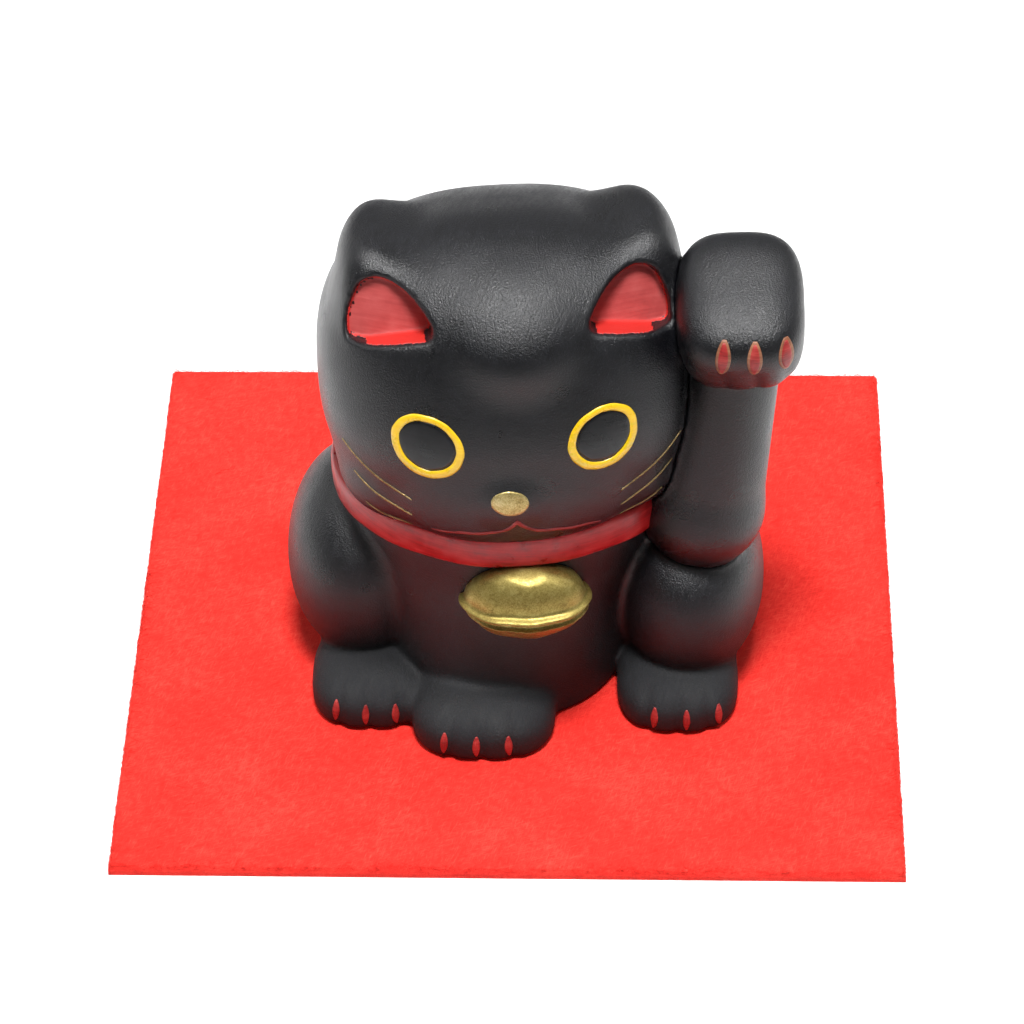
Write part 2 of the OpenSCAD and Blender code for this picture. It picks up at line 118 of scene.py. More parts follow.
class Shading:
    """A material while it is built: its tree, main shader and coordinates in millimetres."""

    def __init__(self, name: str) -> None:
        """Starts an empty material with this name."""
        self.material = bpy.data.materials.new(name)
        self.material.use_nodes = True
        self.tree = self.material.node_tree
        self.tree.nodes.clear()
        self.shader = node(self.tree, "ShaderNodeBsdfPrincipled")
        node(self.tree, "ShaderNodeOutputMaterial", links={0: self.shader.outputs[0]})
        self.place = self.scaled(node(self.tree, "ShaderNodeTexCoord").outputs["Object"], 1 / MM)

    def feed(self, socket: Socket, value: Any) -> None:
        """Links a socket to another one, or sets its own value."""
        if isinstance(value, bpy.types.NodeSocket):
            self.tree.links.new(value, socket)
        else:
            socket.default_value = value

    def dress(self, inputs: dict[str, Any]) -> None:
        """Feeds inputs of the main shader, by name."""
        for name, value in inputs.items():
            self.feed(self.shader.inputs[name], value)

    def scaled(self, vector: Socket, factor: float) -> Socket:
        """A vector times a number."""
        return node(self.tree, "ShaderNodeVectorMath", {"operation": "SCALE", 3: factor},
                    {0: vector}).outputs[0]

    def part_z(self, vector: Socket) -> Socket:
        """The upward part of a vector."""
        return node(self.tree, "ShaderNodeSeparateXYZ", links={0: vector}).outputs[2]

    def sums(self, operation: str, *values: Any, clamp: bool = False) -> Socket:
        """Adds a maths node.

        Args:
            operation: Its operation, such as "MULTIPLY".
            values: Its inputs in order, each a socket or a number.
            clamp: Whether the result is held between 0 and 1.

        Returns:
            Its output.
        """
        made = node(self.tree, "ShaderNodeMath", {"operation": operation, "use_clamp": clamp})
        for socket, value in zip(made.inputs, values):
            self.feed(socket, value)
        return made.outputs[0]

    def span(self, value: Socket, start: float, end: float, low: float = 0.0,
             high: float = 1.0) -> Socket:
        """Turns a range of values into another one, and holds it there.

        Args:
            value: What drives it.
            start: The value that gives low.
            end: The value that gives high.
            low: Result at the start.
            high: Result at the end.

        Returns:
            The result.
        """
        return node(self.tree, "ShaderNodeMapRange", {1: start, 2: end, 3: low, 4: high},
                    {0: value}).outputs[0]

    def average(self, share: float, a: Socket, b: Socket) -> Socket:
        """Two values mixed, with this share of the second."""
        return node(self.tree, "ShaderNodeMix", {"data_type": "FLOAT", 0: share},
                    {2: a, 3: b}).outputs[0]

    def tint(self, amount: Socket, under: Socket, over: tuple) -> Socket:
        """A colour laid over another by an amount."""
        made = node(self.tree, "ShaderNodeMix", {"data_type": "RGBA"}, {0: amount, 6: under})
        made.inputs[7].default_value = over
        return made.outputs[2]

    def ramp(self, factor: Socket, stops: Sequence[tuple[float, tuple]]) -> Socket:
        """Adds a colour ramp with any number of stops.

        Args:
            factor: The socket that drives it.
            stops: Positions from 0 to 1 with their linear colours.

        Returns:
            The ramp's colour output.
        """
        made = node(self.tree, "ShaderNodeValToRGB", links={0: factor})
        elements = made.color_ramp.elements
        while len(elements) < len(stops):
            elements.new(0.5)
        for element, (position, colour) in zip(elements, stops):
            element.position = position
            element.color = colour
        return made.outputs[0]

    def noise(self, size_mm: float, detail: float = 2.0,
              stretch: tuple[float, float, float] = (1, 1, 1),
              turn: tuple[float, float, float] = (0, 0, 0)) -> Socket:
        """Adds noise whose lumps are about size_mm across.

        Args:
            size_mm: Size of one lump.
            detail: Number of finer octaves.
            stretch: How many times longer a lump is along each axis.
            turn: Rotation of the pattern, in degrees.

        Returns:
            The noise's value output.
        """
        turned_place = node(self.tree, "ShaderNodeMapping", {
            "vector_type": "TEXTURE", 2: [math.radians(a) for a in turn],
            3: [size_mm * s for s in stretch]}, {0: self.place})
        return node(self.tree, "ShaderNodeTexNoise",
                    {"Scale": 1.0, "Detail": detail, "Roughness": 0.6},
                    {"Vector": turned_place.outputs[0]}).outputs[0]

    def bump(self, height: Socket, depth_mm: float) -> None:
        """Adds a bump over any bump that the shader already has.

        Args:
            height: Heights from 0 to 1.
            depth_mm: Real height of the bump.
        """
        links = {"Height": height}
        normal = self.shader.inputs["Normal"]
        if normal.is_linked:
            links["Normal"] = normal.links[0].from_socket
        made = node(self.tree, "ShaderNodeBump", {"Strength": 1.0, "Distance": depth_mm * MM},
                    links)
        self.tree.links.new(made.outputs[0], normal)


# ---------------------------------------------------------------------------------------
# Finishes
# ---------------------------------------------------------------------------------------

@dataclass(frozen=True)
class Finish:
    """What every finish has: a name, and a way to paint itself on a material."""

    name: str

    def material(self) -> bpy.types.Material:
        """Builds the finish as a material."""
        shading = Shading(self.name)
        self.paint(shading)
        return shading.material

    def paint(self, on: Shading) -> None:
        """Adds the finish's nodes to a material."""
        raise NotImplementedError


@dataclass(frozen=True)
class BrushedBlackGlaze(Finish):
    """Black ceramic glaze, brushed on by hand and fired to a satin surface.

    The brush leaves fine streaks, which break the highlight on the upper side into hairs.
    """

    deep: str = "#040406"
    # Paler tone that the real dust specks and the painted sheen of the upward streaks reach
    sheen_and_dust_grey: str = "#191a20"
    clay: str = "#b9a58a"
    streak_mm: float = 0.13
    streak_length: float = 11.0
    grain_mm: float = 0.15
    cloud_mm: float = 5.0
    satin: tuple[float, float] = (0.25, 0.37)
    low_dryness: float = 0.42
    ior: float = 1.52

    def paint(self, on: Shading) -> None:
        """Adds the glaze with painted sheen on its upward streaks, and bare clay on the underside.
        """
        streaks = on.noise(self.streak_mm, 2, (1, self.streak_length, 9), (8, -6, 12))
        hairs = on.noise(self.streak_mm * 2.2, 1, (1, self.streak_length * 0.8, 12),
                         (-14, 10, -18))
        grain = on.noise(self.grain_mm, 3)
        cloud = on.noise(self.cloud_mm, 2)
        upward = on.part_z(node(on.tree, "ShaderNodeNewGeometry").outputs["Normal"])
        # Streaks show most on the faces that look up; their paler colour there is painted sheen,
        # while their bump and roughness are the glaze's own
        brushed = on.span(upward, -0.1, 0.75, 0.12, 1.0)
        lines = on.sums("MULTIPLY", on.sums("MULTIPLY", streaks, hairs), brushed)
        streaks_and_sheen = on.span(lines, 0.14, 0.42)
        dust = on.span(grain, 0.52, 0.74, 0.0, 0.9)
        # Painted sheen from the upward streaks, mixed with the real dust specks of the grain
        dust_and_sheen = on.sums("MULTIPLY_ADD", streaks_and_sheen, 0.3, dust)
        amount = on.sums("MULTIPLY_ADD", on.span(cloud, 0.35, 0.7, 0.0, 0.5), 0.4, dust_and_sheen,
                         clamp=True)
        glaze = on.ramp(amount, [(0.0, linear(self.deep)), (1.0, linear(self.sheen_and_dust_grey))])
        # The underside is bare fired clay, wiped clean of glaze so that it doesn't stick
        height = on.part_z(on.place)
        low = MAT_HIGH[2] / MM
        bare = on.sums("MULTIPLY", on.span(height, low + 0.25, low + 0.1),
                       on.span(upward, -0.5, -0.9))
        # The glaze is thinner and drier low down, where the brush didn't reach well
        dry = on.span(height, low + 12.0, low + 3.0, 0.0, self.low_dryness)
        satin = on.sums("ADD", on.span(cloud, 0.3, 0.7, *self.satin), dry)
        on.dress({"Base Color": on.tint(bare, glaze, linear(self.clay)),
                  "Roughness": on.sums("MULTIPLY_ADD", streaks_and_sheen, 0.1, satin),
                  "IOR": self.ior})
        on.bump(grain, 0.07)
        on.bump(streaks_and_sheen, 0.014)


@dataclass(frozen=True)
class BrushedEnamel(Finish):
    """Opaque overglaze enamel, brushed on: a soft gloss, with brush lines and a thin edge."""

    colour: str
    thin: str
    pale: str
    roughness: float
    streak_mm: float = 0.2
    depth_mm: float = 0.012
    coat: float = 0.0

    def paint(self, on: Shading) -> None:
        """Adds the enamel."""
        strokes = on.noise(self.streak_mm, 2, (14, 14, 1), (6, 4, 0))
        patches = on.noise(1.6, 3)
        grain = on.noise(0.12, 2)
        colour = on.ramp(on.average(0.45, patches, strokes), [
            (0.3, linear(self.thin)), (0.5, linear(self.colour)), (0.72, linear(self.pale))])
        on.dress({"Base Color": colour,
                  "Roughness": on.span(patches, 0.3, 0.7, self.roughness - 0.08,
                                       self.roughness + 0.12),
                  "IOR": 1.5, "Coat Weight": self.coat, "Coat Roughness": 0.2})
        on.bump(strokes, self.depth_mm)
        on.bump(grain, self.depth_mm * 0.4)


@dataclass(frozen=True)
class EarEnamel(BrushedEnamel):
    """Ear enamel: chalky salmon on the flat back wall, and a deeper red painted round its foot and
    on every face that turns off it, as painted light and shade.
    """

    wall: tuple = (0.0, -0.93, 0.367)
    painted_light_red: str = "#c5231c"

    def paint(self, on: Shading) -> None:
        """Adds the enamel, and the painted-light red where the surface turns off the back wall."""
        super().paint(on)
        under = on.shader.inputs["Base Color"].links[0].from_socket
        normal = node(on.tree, "ShaderNodeNewGeometry").outputs["True Normal"]
        facing = node(on.tree, "ShaderNodeVectorMath", {"operation": "DOT_PRODUCT",
                                                        1: self.wall}, {0: normal})
        # Painted light and shade: the floor and side walls, which turn off the back wall, get the
        # deeper red
        turned_off = on.span(facing.outputs["Value"], 0.93, 0.8)
        on.dress({"Base Color": on.tint(turned_off, under, linear(self.painted_light_red))})


@dataclass(frozen=True)
class Gilding(Finish):
    """Bright gold paint: bronze flakes in varnish, satin, with flakes that catch the light."""

    colour: str
    dark: str
    bright: str
    roughness: float
    flake_mm: float
    depth_mm: float

    def paint(self, on: Shading) -> None:
        """Adds the gilding."""
        tone = on.noise(1.3, 3)
        flakes = node(on.tree, "ShaderNodeTexVoronoi", {"Scale": 1.0},
                      {"Vector": on.scaled(on.place, 1 / self.flake_mm)})
        spark = node(on.tree, "ShaderNodeSeparateColor", links={0: flakes.outputs["Color"]})
        colour = on.ramp(on.average(0.3, tone, spark.outputs[0]), [
            (0.25, linear(self.dark)), (0.5, linear(self.colour)), (0.8, linear(self.bright))])
        on.dress({"Base Color": colour, "Metallic": 0.75,
                  "Roughness": on.span(spark.outputs[1], 0.0, 1.0, self.roughness - 0.08,
                                       self.roughness + 0.14)})
        on.bump(spark.outputs[2], self.depth_mm)
        on.bump(tone, self.depth_mm * 3)


@dataclass(frozen=True)
class PressedFelt(Finish):
    """Pressed wool felt: matted fibres with no weave, a soft halo and a slightly uneven dye."""

    colour: str = "#e62f27"
    deep: str = "#cf231c"
    pale: str = "#f04a3e"
    halo: str = "#ff6a5a"
    fibre_mm: float = 0.09

    def paint(self, on: Shading) -> None:
        """Adds the felt."""
        # Real wool is 0.02 to 0.03 mm thick; it is drawn four times coarser so that it shows
        matted = on.sums("MAXIMUM", on.noise(self.fibre_mm, 2, (9, 1, 1), (0, 0, 24)),
                         on.noise(self.fibre_mm, 2, (1, 9, 1), (0, 0, -17)))
        clumps = on.noise(0.9, 3)
        dye = on.noise(9.0, 2)
        tone = on.sums("MULTIPLY_ADD", dye, 0.3, on.average(0.3, matted, clumps))
        colour = on.ramp(tone, [(0.5, linear(self.deep)), (0.68, linear(self.colour)),
                                (0.9, linear(self.pale))])
        on.dress({"Base Color": colour, "Roughness": 0.95, "Specular IOR Level": 0.2,
                  "Sheen Weight": 0.35, "Sheen Roughness": 0.5,
                  "Sheen Tint": linear(self.halo)})
        on.bump(clumps, 0.04)
        on.bump(matted, 0.04)


@dataclass(frozen=True)
class PaintedBoard(Finish):
    """Matt white studio board, which only the stage uses."""

    def paint(self, on: Shading) -> None:
        """Adds the board, which curves away into shade a hand's width from the object."""
        white = on.ramp(on.noise(60.0, 2), [(0.3, grey(0.88)), (0.7, grey(0.92))])
        distance = node(on.tree, "ShaderNodeVectorMath", {"operation": "LENGTH"}, {0: on.place})
        far = on.span(distance.outputs["Value"], 130.0, 330.0)
        # In front of the mat the board lies in the shade of whoever holds the camera
        ahead = node(on.tree, "ShaderNodeSeparateXYZ", links={0: on.place}).outputs[1]
        shade = on.sums("MAXIMUM", far, on.span(ahead, -58.0, -120.0))
        on.dress({"Base Color": on.tint(shade, white, grey(0.3)), "Roughness": 0.8})


class Finishes(Enum):
    """Every finish on the object, by what it is."""

    GLAZE = BrushedBlackGlaze("brushed_black_glaze")
    COLLAR_ENAMEL = BrushedEnamel("red_collar_enamel", "#b0171b", "#7c0f12", "#c53a38", 0.34)
    WHISKER_GILDING = Gilding("worn_whisker_gilding", "#927c50", "#5f5136", "#b29b68", 0.5, 0.1,
                              0.01)
    EAR_ENAMEL = EarEnamel("ear_lining_enamel", "#b94a48", "#a83d3c", "#c45a57", 0.6, 0.3)
    EYE_ENAMEL = BrushedEnamel("yellow_eye_enamel", "#ecbc14", "#d1b81f", "#f3cd33", 0.28, 0.3,
                               0.02, 0.4)
    PUPIL_ENAMEL = BrushedEnamel("black_pupil_enamel", "#0e0e10", "#0a0a0b", "#16161a", 0.3, 0.3)
    LINE_ENAMEL = BrushedEnamel("red_line_enamel", "#9c2826", "#5e1415", "#bd4a42", 0.45, 0.15)
    CLAW_EDGE_ENAMEL = BrushedEnamel("ochre_claw_edge_enamel", "#8d5a3e", "#5a3428", "#a8785a",
                                     0.45, 0.15)
    MOUTH_ENAMEL = BrushedEnamel("dark_red_mouth_enamel", "#86201f", "#4a1112", "#a83a35", 0.4,
                                 0.15)
    BELL_GILDING = Gilding("bell_gilding", "#998848", "#7c6a36", "#b3a362", 0.42, 0.1, 0.002)
    FACE_GILDING = Gilding("face_gilding", "#b8a468", "#8a7844", "#d8cb98", 0.44, 0.1, 0.012)
    FELT = PressedFelt("pressed_red_felt")
    BOARD = PaintedBoard("white_board")


# ---------------------------------------------------------------------------------------
# Fields: negative inside, about a distance outside. Points come as an array of three rows.
# ---------------------------------------------------------------------------------------

def turned(axis: str, degrees: float) -> Array:
    """Rotation matrix about one axis.

    Args:
        axis: "X", "Y" or "Z".
        degrees: The angle by the right-hand rule.

    Returns:
        A three by three matrix.
    """
    return np.array(Matrix.Rotation(math.radians(degrees), 3, axis), dtype=np.float32)


def local(p: Array, centre: Sequence[float], turn: Array | None = None) -> Array:
    """Points as seen from a centre, and from axes turned by a matrix.

    Args:
        p: Points.
        centre: The new origin.
        turn: Rotation of the new axes.

    Returns:
        The points in the new axes.
    """
    q = p - np.array(centre, np.float32).reshape(3, *[1] * (p.ndim - 1))
    return q if turn is None else np.tensordot(turn.T, q, axes=1)


def blend(a: Array, b: Array, k: float) -> Array:
    """Union of two fields with a fillet of about k."""
    h = np.maximum(k - np.abs(a - b), 0)
    return np.minimum(a, b) - h * h / (4 * k)


def carve(a: Array, b: Array, k: float) -> Array:
    """Intersection of two fields with an edge rounded by about k."""
    return -blend(-a, -b, k)


def egg(q: Array, radii: Sequence[float], power: float = 2.0) -> Array:
    """Ellipsoid, or a boxier form when power is above two.

    Args:
        q: Points in the egg's own axes.
        radii: Its three radii.
        power: Two for an ellipsoid.

    Returns:
        The field.
    """
    r = np.array(radii, np.float32).reshape(3, *[1] * (q.ndim - 1))
    u = np.abs(q / r) + 1e-6
    w = u ** (power - 1)
    k0 = (w * u).sum(0) ** (1 / power)
    slope = k0 ** (1 - power) * np.sqrt(((w / r) ** 2).sum(0))
    return (k0 - 1) / slope


def beyond(q: Array, point: Sequence[float], normal: Sequence[float]) -> Array:
    """Half space on the inner side of a plane."""
    n = np.array(normal, np.float32)
    return np.tensordot(n / np.linalg.norm(n), local(q, point), axes=1)


def limb(p: Array, a: Sequence[float], b: Sequence[float], ra: float, rb: float) -> Array:
    """Round limb between two points.

    Args:
        p: Points.
        a: Start of the limb's axis.
        b: End of the limb's axis.
        ra: Radius at the start.
        rb: Radius at the end.

    Returns:
        The field.
    """
    ab = np.subtract(b, a).astype(np.float32)
    q = local(p, a)
    t = np.clip(np.tensordot(ab, q, axes=1) / (ab @ ab), 0, 1)
    rest = q - ab.reshape(3, *[1] * (p.ndim - 1)) * t
    return np.sqrt((rest ** 2).sum(0)) - ra - (rb - ra) * t


@dataclass
class CatShape:
    """The cat's form in millimetres: the fields that every piece is cut from."""

    head_centre: tuple = (-0.6, -1.4, 31.2)
    skull_centre: tuple = (0.35, 0.0, 0.0)
    skull_radii: tuple = (16.95, 14.9, 14.2)
    head_turn: float = 5.5
    head_lean: float = -19.0
    ear_x: float = 10.2
    ear_cut: tuple = (0.0, -6.6, 10.7)
    ear_up: tuple = (0.0, 0.367, 0.93)
    ear_inward: tuple = (0.0, 0.93, -0.367)
    ear_depth: float = 1.1
    ear_wall_lean: float = 0.25
    # Outline of the hollow in the right ear, across and up from ear_cut
    ear_outline: tuple = ((-3.3, -2.25), (2.4, -3.1), (3.7, -2.7), (3.7, -0.5), (2.5, 2.2),
                          (1.0, 2.75), (-1.0, 1.95), (-2.8, 0.2), (-3.6, -1.5))
    ear_keep: float = 7.5
    shoulder: tuple = (17.1, -7.2, 18.6)
    wrist: tuple = (19.6, -6.0, 35.0)
    paw_centre: tuple = (20.0, -6.6, 40.0)
    paw_radii: tuple = (5.5, 6.9, 4.3)
    paw_droop: float = 20.0
    # Centre and radii of each form that is blended into the head, in the head's axes
    brow: tuple = ((0.3, -9.6, 9.3), (4.0, 3.8, 2.3))
    jowls: tuple = (((-8.5, -6.5, -7.2), (6.2, 5.5, 4)), ((8.5, -6.5, -7.2), (6.2, 5.5, 4)))
    muzzle: tuple = ((0, -12.0, -6.6), (8.5, 3.2, 4.2))
    snout: tuple = ((-0.5, -13.6, -4.8), (3.0, 2.2, 2.4))
    # The same for the body
    seat: tuple = ((1, 4, 7), (17, 13, 12))
    thighs: tuple = (((-13.6, -1.5, 8.8), (7.1, 10.6, 9.6)), ((15.9, -3.8, 8), (6.9, 10.5, 9)))
    tail: tuple = ((6, 16.5, 5), (4.5, 3.5, 4))
    front_paw: tuple = (-2.5, -15.3, 1.3)
    front_paw_radii: tuple = (6.5, 6.0, 3.0)
    feet: tuple = ((-12.7, -11.1, 1.2), (15.0, -11.3, 1.2))
    foot_radii: tuple = (5.5, 6.2, 2.9)
    torso_top: float = 24.0
    wall: float = 3.2
    vent_at: tuple = (1.0, 2.0)
    vent_r: float = 1.7
    seam: float = 0.06
    # Torso sections: height, centre x and y, radius x and y
    sections: tuple = ((0, -0.7, -4.8, 11, 11.2), (4.5, -0.7, -4.6, 11.3, 11.4),
                       (10, -0.8, -3.8, 12.4, 11.2), (14, -0.7, -3, 13.8, 11.4),
                       (18, -0.5, -2.5, 14.8, 12), (23, -0.5, -2.5, 15, 12))

    def section(self, z: Array, column: int) -> Array:
        """Smooth value of one column of the torso sections.

        Args:
            z: Heights.
            column: Which column.

        Returns:
            The value at each height.
        """
        rows = np.array(self.sections, np.float64)
        heights, values = rows[:, 0], rows[:, column]
        z = np.clip(z, heights[0], heights[-1])
        slopes = np.empty_like(values)
        slopes[1:-1] = (values[2:] - values[:-2]) / (heights[2:] - heights[:-2])
        slopes[0] = (values[1] - values[0]) / (heights[1] - heights[0])
        slopes[-1] = (values[-1] - values[-2]) / (heights[-1] - heights[-2])
        i = np.clip(np.searchsorted(heights, z, side="right") - 1, 0, len(heights) - 2)
        h = heights[i + 1] - heights[i]
        t = (z - heights[i]) / h
        s = t * t * (3 - 2 * t)
        curve = slopes[i] * h * t * (1 - t) ** 2 - slopes[i + 1] * h * t * t * (1 - t)
        return (values[i] * (1 - s) + values[i + 1] * s + curve).astype(np.float32)

    def torso(self, p: Array) -> Array:
        """Field of the torso, a stack of ellipses."""
        cx, cy, rx, ry = (self.section(p[2], c) for c in (1, 2, 3, 4))
        u, v = (p[0] - cx) / rx, (p[1] - cy) / ry
        f = np.sqrt(u * u + v * v) + 1e-6
        return (f - 1) * f / np.maximum(np.sqrt((u / rx) ** 2 + (v / ry) ** 2), 1e-4)

    def in_head(self, p: Array) -> Array:
        """Points in the head's own axes."""
        return local(p, self.head_centre, turned("Z", self.head_turn))

    def skull(self, q: Array) -> Array:
        """Field of the bare skull, in the head's axes."""
        return egg(local(q, self.skull_centre, turned("X", self.head_lean)), self.skull_radii, 2.5)

    def ear(self, q: Array, side: int) -> Array:
        """Field of one ear, a rounded hood with a flat front.

        Args:
            q: Points in the head's axes.
            side: Minus one on the left and one on the right.

        Returns:
            The field.
        """
        hood = egg(local(q, (side * (self.ear_x - 0.4) + 0.4, -0.6, 9.8)), (5.2, 8.2, 5.8), 2.2)
        top = beyond(q, (side * (self.ear_x + 0.8), 0, 14.9), (-side * 0.62, 0, 0.78))
        front = beyond(q, (side * (self.ear_x + 0.1), -6.6, 10.2), (side * 0.08, -0.93, 0.36))
        return carve(carve(hood, top, 2.5), front, 2.0)

    def in_ear(self, q: Array, side: int) -> tuple[Array, Array, Array]:
        """Places outward, up and inward from the middle of an ear's hollow.

        Args:
            q: Points in the head's axes.
            side: Minus one on the left and one on the right.

        Returns:
            The three distances.
        """
        e = local(q, (self.ear_cut[0] + side * self.ear_x, self.ear_cut[1], self.ear_cut[2]))
        up, inward = (np.tensordot(np.array(way, np.float32), e, axes=1)
                      for way in (self.ear_up, self.ear_inward))
        return e[0] * side, up, inward

    def ear_pocket(self, q: Array, side: int) -> Array:
        """Field of the hollow in the front of an ear, whose back wall leans.

        Args:
            q: Points in the head's axes.
            side: Minus one on the left and one on the right.

        Returns:
            The field.
        """
        u, v, inward = self.in_ear(q, side)
        field = inward - self.ear_depth - self.ear_wall_lean * u
        ends = self.ear_outline[1:] + self.ear_outline[:1]
        for (ax, ay), (bx, by) in zip(self.ear_outline, ends):
            length = math.hypot(bx - ax, by - ay)
            edge = ((by - ay) * (u - ax) - (bx - ax) * (v - ay)) / length
            field = carve(field, edge, 0.5)
        return field

    def ear_painted(self, q: Array, side: int) -> Array:
        """Where the paint lies in an ear's hollow: on its back wall and its floor.

        Args:
            q: Points in the head's axes.
            side: Minus one on the left and one on the right.

        Returns:
            True where there is paint.
        """
        u, v, inward = self.in_ear(q, side)
        hand = 0.08 * np.sin(3.1 * u + side) + 0.05 * np.sin(7.7 * u)
        floor = (v < -1.6) & (u < 2.2) & (u > -2.9)
        wall = inward > self.ear_depth + self.ear_wall_lean * u - 0.4 + hand
        return (self.bare_head(q) < -0.3 - hand) & (floor | wall)

    def bare_head(self, q: Array) -> Array:
        """Field of the head before its ears are hollowed, in the head's axes."""
        shape = blend(blend(self.skull(q), self.ear(q, -1), 1.8), self.ear(q, 1), 1.8)
        centre, radii = self.brow
        shape = blend(shape, egg(local(q, centre, turned("X", 30)), radii), 3.6)
        for centre, radii in self.jowls:
            shape = blend(shape, egg(local(q, centre), radii), 2.5)
        for (centre, radii), power, fillet in ((self.muzzle, 2.2, 3), (self.snout, 2.0, 1.6)):
            shape = blend(shape, egg(local(q, centre), radii, power), fillet)
        return shape

    def head(self, p: Array) -> Array:
        """Field of the head with its ears and muzzle."""
        q = self.in_head(p)
        shape = carve(self.bare_head(q), -self.ear_pocket(q, -1), 0.45)
        return carve(shape, -self.ear_pocket(q, 1), 0.45)

    def trunk(self, p: Array) -> Array:
        """Field of the torso and the seat."""
        centre, radii = self.seat
        seat = egg(local(p, centre), radii, 2.3)
        return blend(seat, carve(self.torso(p), p[2] - self.torso_top, 3), 3)

    def body(self, p: Array) -> Array:
        """Field of the body with its thighs, feet, front paw and bob tail."""
        lean = turned("X", -8)
        shape = self.trunk(p)
        for centre, radii in self.thighs:
            shape = blend(shape, egg(local(p, centre, lean), radii, 2.1), 1.2)
        for centre in self.feet:
            shape = blend(shape, self.toes(p, centre, self.foot_radii, 2.7), 0.7)
        shape = blend(shape, self.toes(p, self.front_paw, self.front_paw_radii, 2.8), 0.8)
        centre, radii = self.tail
        shape = blend(shape, egg(local(p, centre), radii), 2)
        return carve(shape, -p[2], 0.6)

    def toes(self, p: Array, centre: Sequence[float], radii: Sequence[float],
             pitch: float) -> Array:
        """Field of a foot whose front is drawn in between its toes.

        Args:
            p: Points.
            centre: The foot's centre.
            radii: The foot's radii.
            pitch: Distance between two clefts.

        Returns:
            The field.
        """
        q = local(p, centre)
        ahead = np.clip((-q[1] - 0.45 * radii[1]) / (0.5 * radii[1]), 0, 1)
        cleft = np.exp(-((q[0] / pitch - np.clip(np.round(q[0] / pitch), -1, 1)) * 5.5) ** 2)
        return egg(q, radii, 2.7) + 0.28 * ahead * cleft

    def arm(self, p: Array) -> Array:
        """Field of the raised arm and its drooping paw."""
        shape = blend(limb(p, self.shoulder, self.wrist, 5.3, 4.1),
                      limb(p, self.shoulder, (15, -3, 17.4), 5.3, 4.8), 1)
        q = local(p, self.paw_centre, turned("Y", -2) @ turned("X", self.paw_droop))
        ahead = np.clip((-q[1] - 3.2) / 3.0, 0, 1) * np.clip((1.5 - q[2]) / 2.0, 0, 1)
        x = (q[0] - 1.2) / 2.7
        cleft = np.exp(-((x - np.clip(np.round(x), -1, 1)) * 5.0) ** 2)
        return blend(shape, egg(q, self.paw_radii, 3.1) + 0.16 * ahead * cleft, 0.7)

    def cavity(self, p: Array) -> Array:
        """Field of the hollow that the slip leaves inside the trunk and the skull."""
        q = self.in_head(p)
        x, y, z = self.ear_cut
        ears = [np.sqrt((local(q, (x + s * self.ear_x, y, z)) ** 2).sum(0)) for s in (-1, 1)]
        inner = np.maximum(blend(self.skull(q), self.trunk(p), 3) + self.wall, self.wall - p[2])
        inner = np.maximum(inner, self.ear_keep - np.minimum(*ears))
        return np.maximum(inner, self.wall - self.arm(p))

    def vent(self, p: Array) -> Array:
        """Field of the vent in the base."""
        return np.hypot(p[0] - self.vent_at[0], p[1] - self.vent_at[1]) - self.vent_r

    def casting(self, part: "Part") -> Field:
        """One casting's share of the whole, down to where it is luted to its neighbours.

        Args:
            part: Which casting.

        Returns:
            Its field.
        """
        def share(p: Array) -> Array:
            """Field of the casting."""
            head, body, arm = self.head(p), self.body(p), self.arm(p)
            whole = blend(blend(head, body, 0.5), arm, 0.9)
            mine, *others = {Part.HEAD: (head, body, arm), Part.BODY: (body, head, arm),
                             Part.ARM: (arm, head, body)}[part]
            shape = np.maximum(whole, mine - np.minimum(*others) + self.seam)
            if part is not Part.ARM:
                shape = np.maximum(shape, -self.cavity(p))
            if part is Part.BODY:
                shape = np.maximum(shape, -self.vent(p))
            return shape
        return share


class Part(Enum):
    """The three pottery castings."""

    HEAD = "head_casting"
    BODY = "body_casting"
    ARM = "raised_arm"


# ---------------------------------------------------------------------------------------
# Meshes
# ---------------------------------------------------------------------------------------

def gradient(shape: Field, p: Array, reach: float = 0.02) -> Array:
    """Unit outward direction of a field at each point.

    Args:
        shape: The field.
        p: Points, three rows.
        reach: Half the distance between the samples.

    Returns:
        Unit vectors, three rows.
    """
    g = np.empty_like(p)
    for axis in range(3):
        step = np.zeros((3, 1), np.float32)
        step[axis] = reach
        g[axis] = shape(p + step) - shape(p - step)
    return g / np.maximum(np.sqrt((g ** 2).sum(0)), 1e-9)


def settle(values: Array) -> Array:
    """Fills grid points where the surface would touch itself along an edge.

    Args:
        values: Field values on a grid.

    Returns:
        The values, with each pinch filled.
    """
    for _ in range(4):
        inside = values < 0
        pinched = np.zeros_like(inside)
        for a in range(3):
            b = (a + 1) % 3
            for s in (-1, 1):
                for t in (-1, 1):
                    side_a = np.roll(inside, s, a)
                    side_b = np.roll(inside, t, b)
                    corner = np.roll(side_a, t, b)
                    pinched |= side_a & side_b & ~corner & ~inside
        if not pinched.any():
            break
        values = np.where(pinched, np.float32(-1e-3), values)
    return values


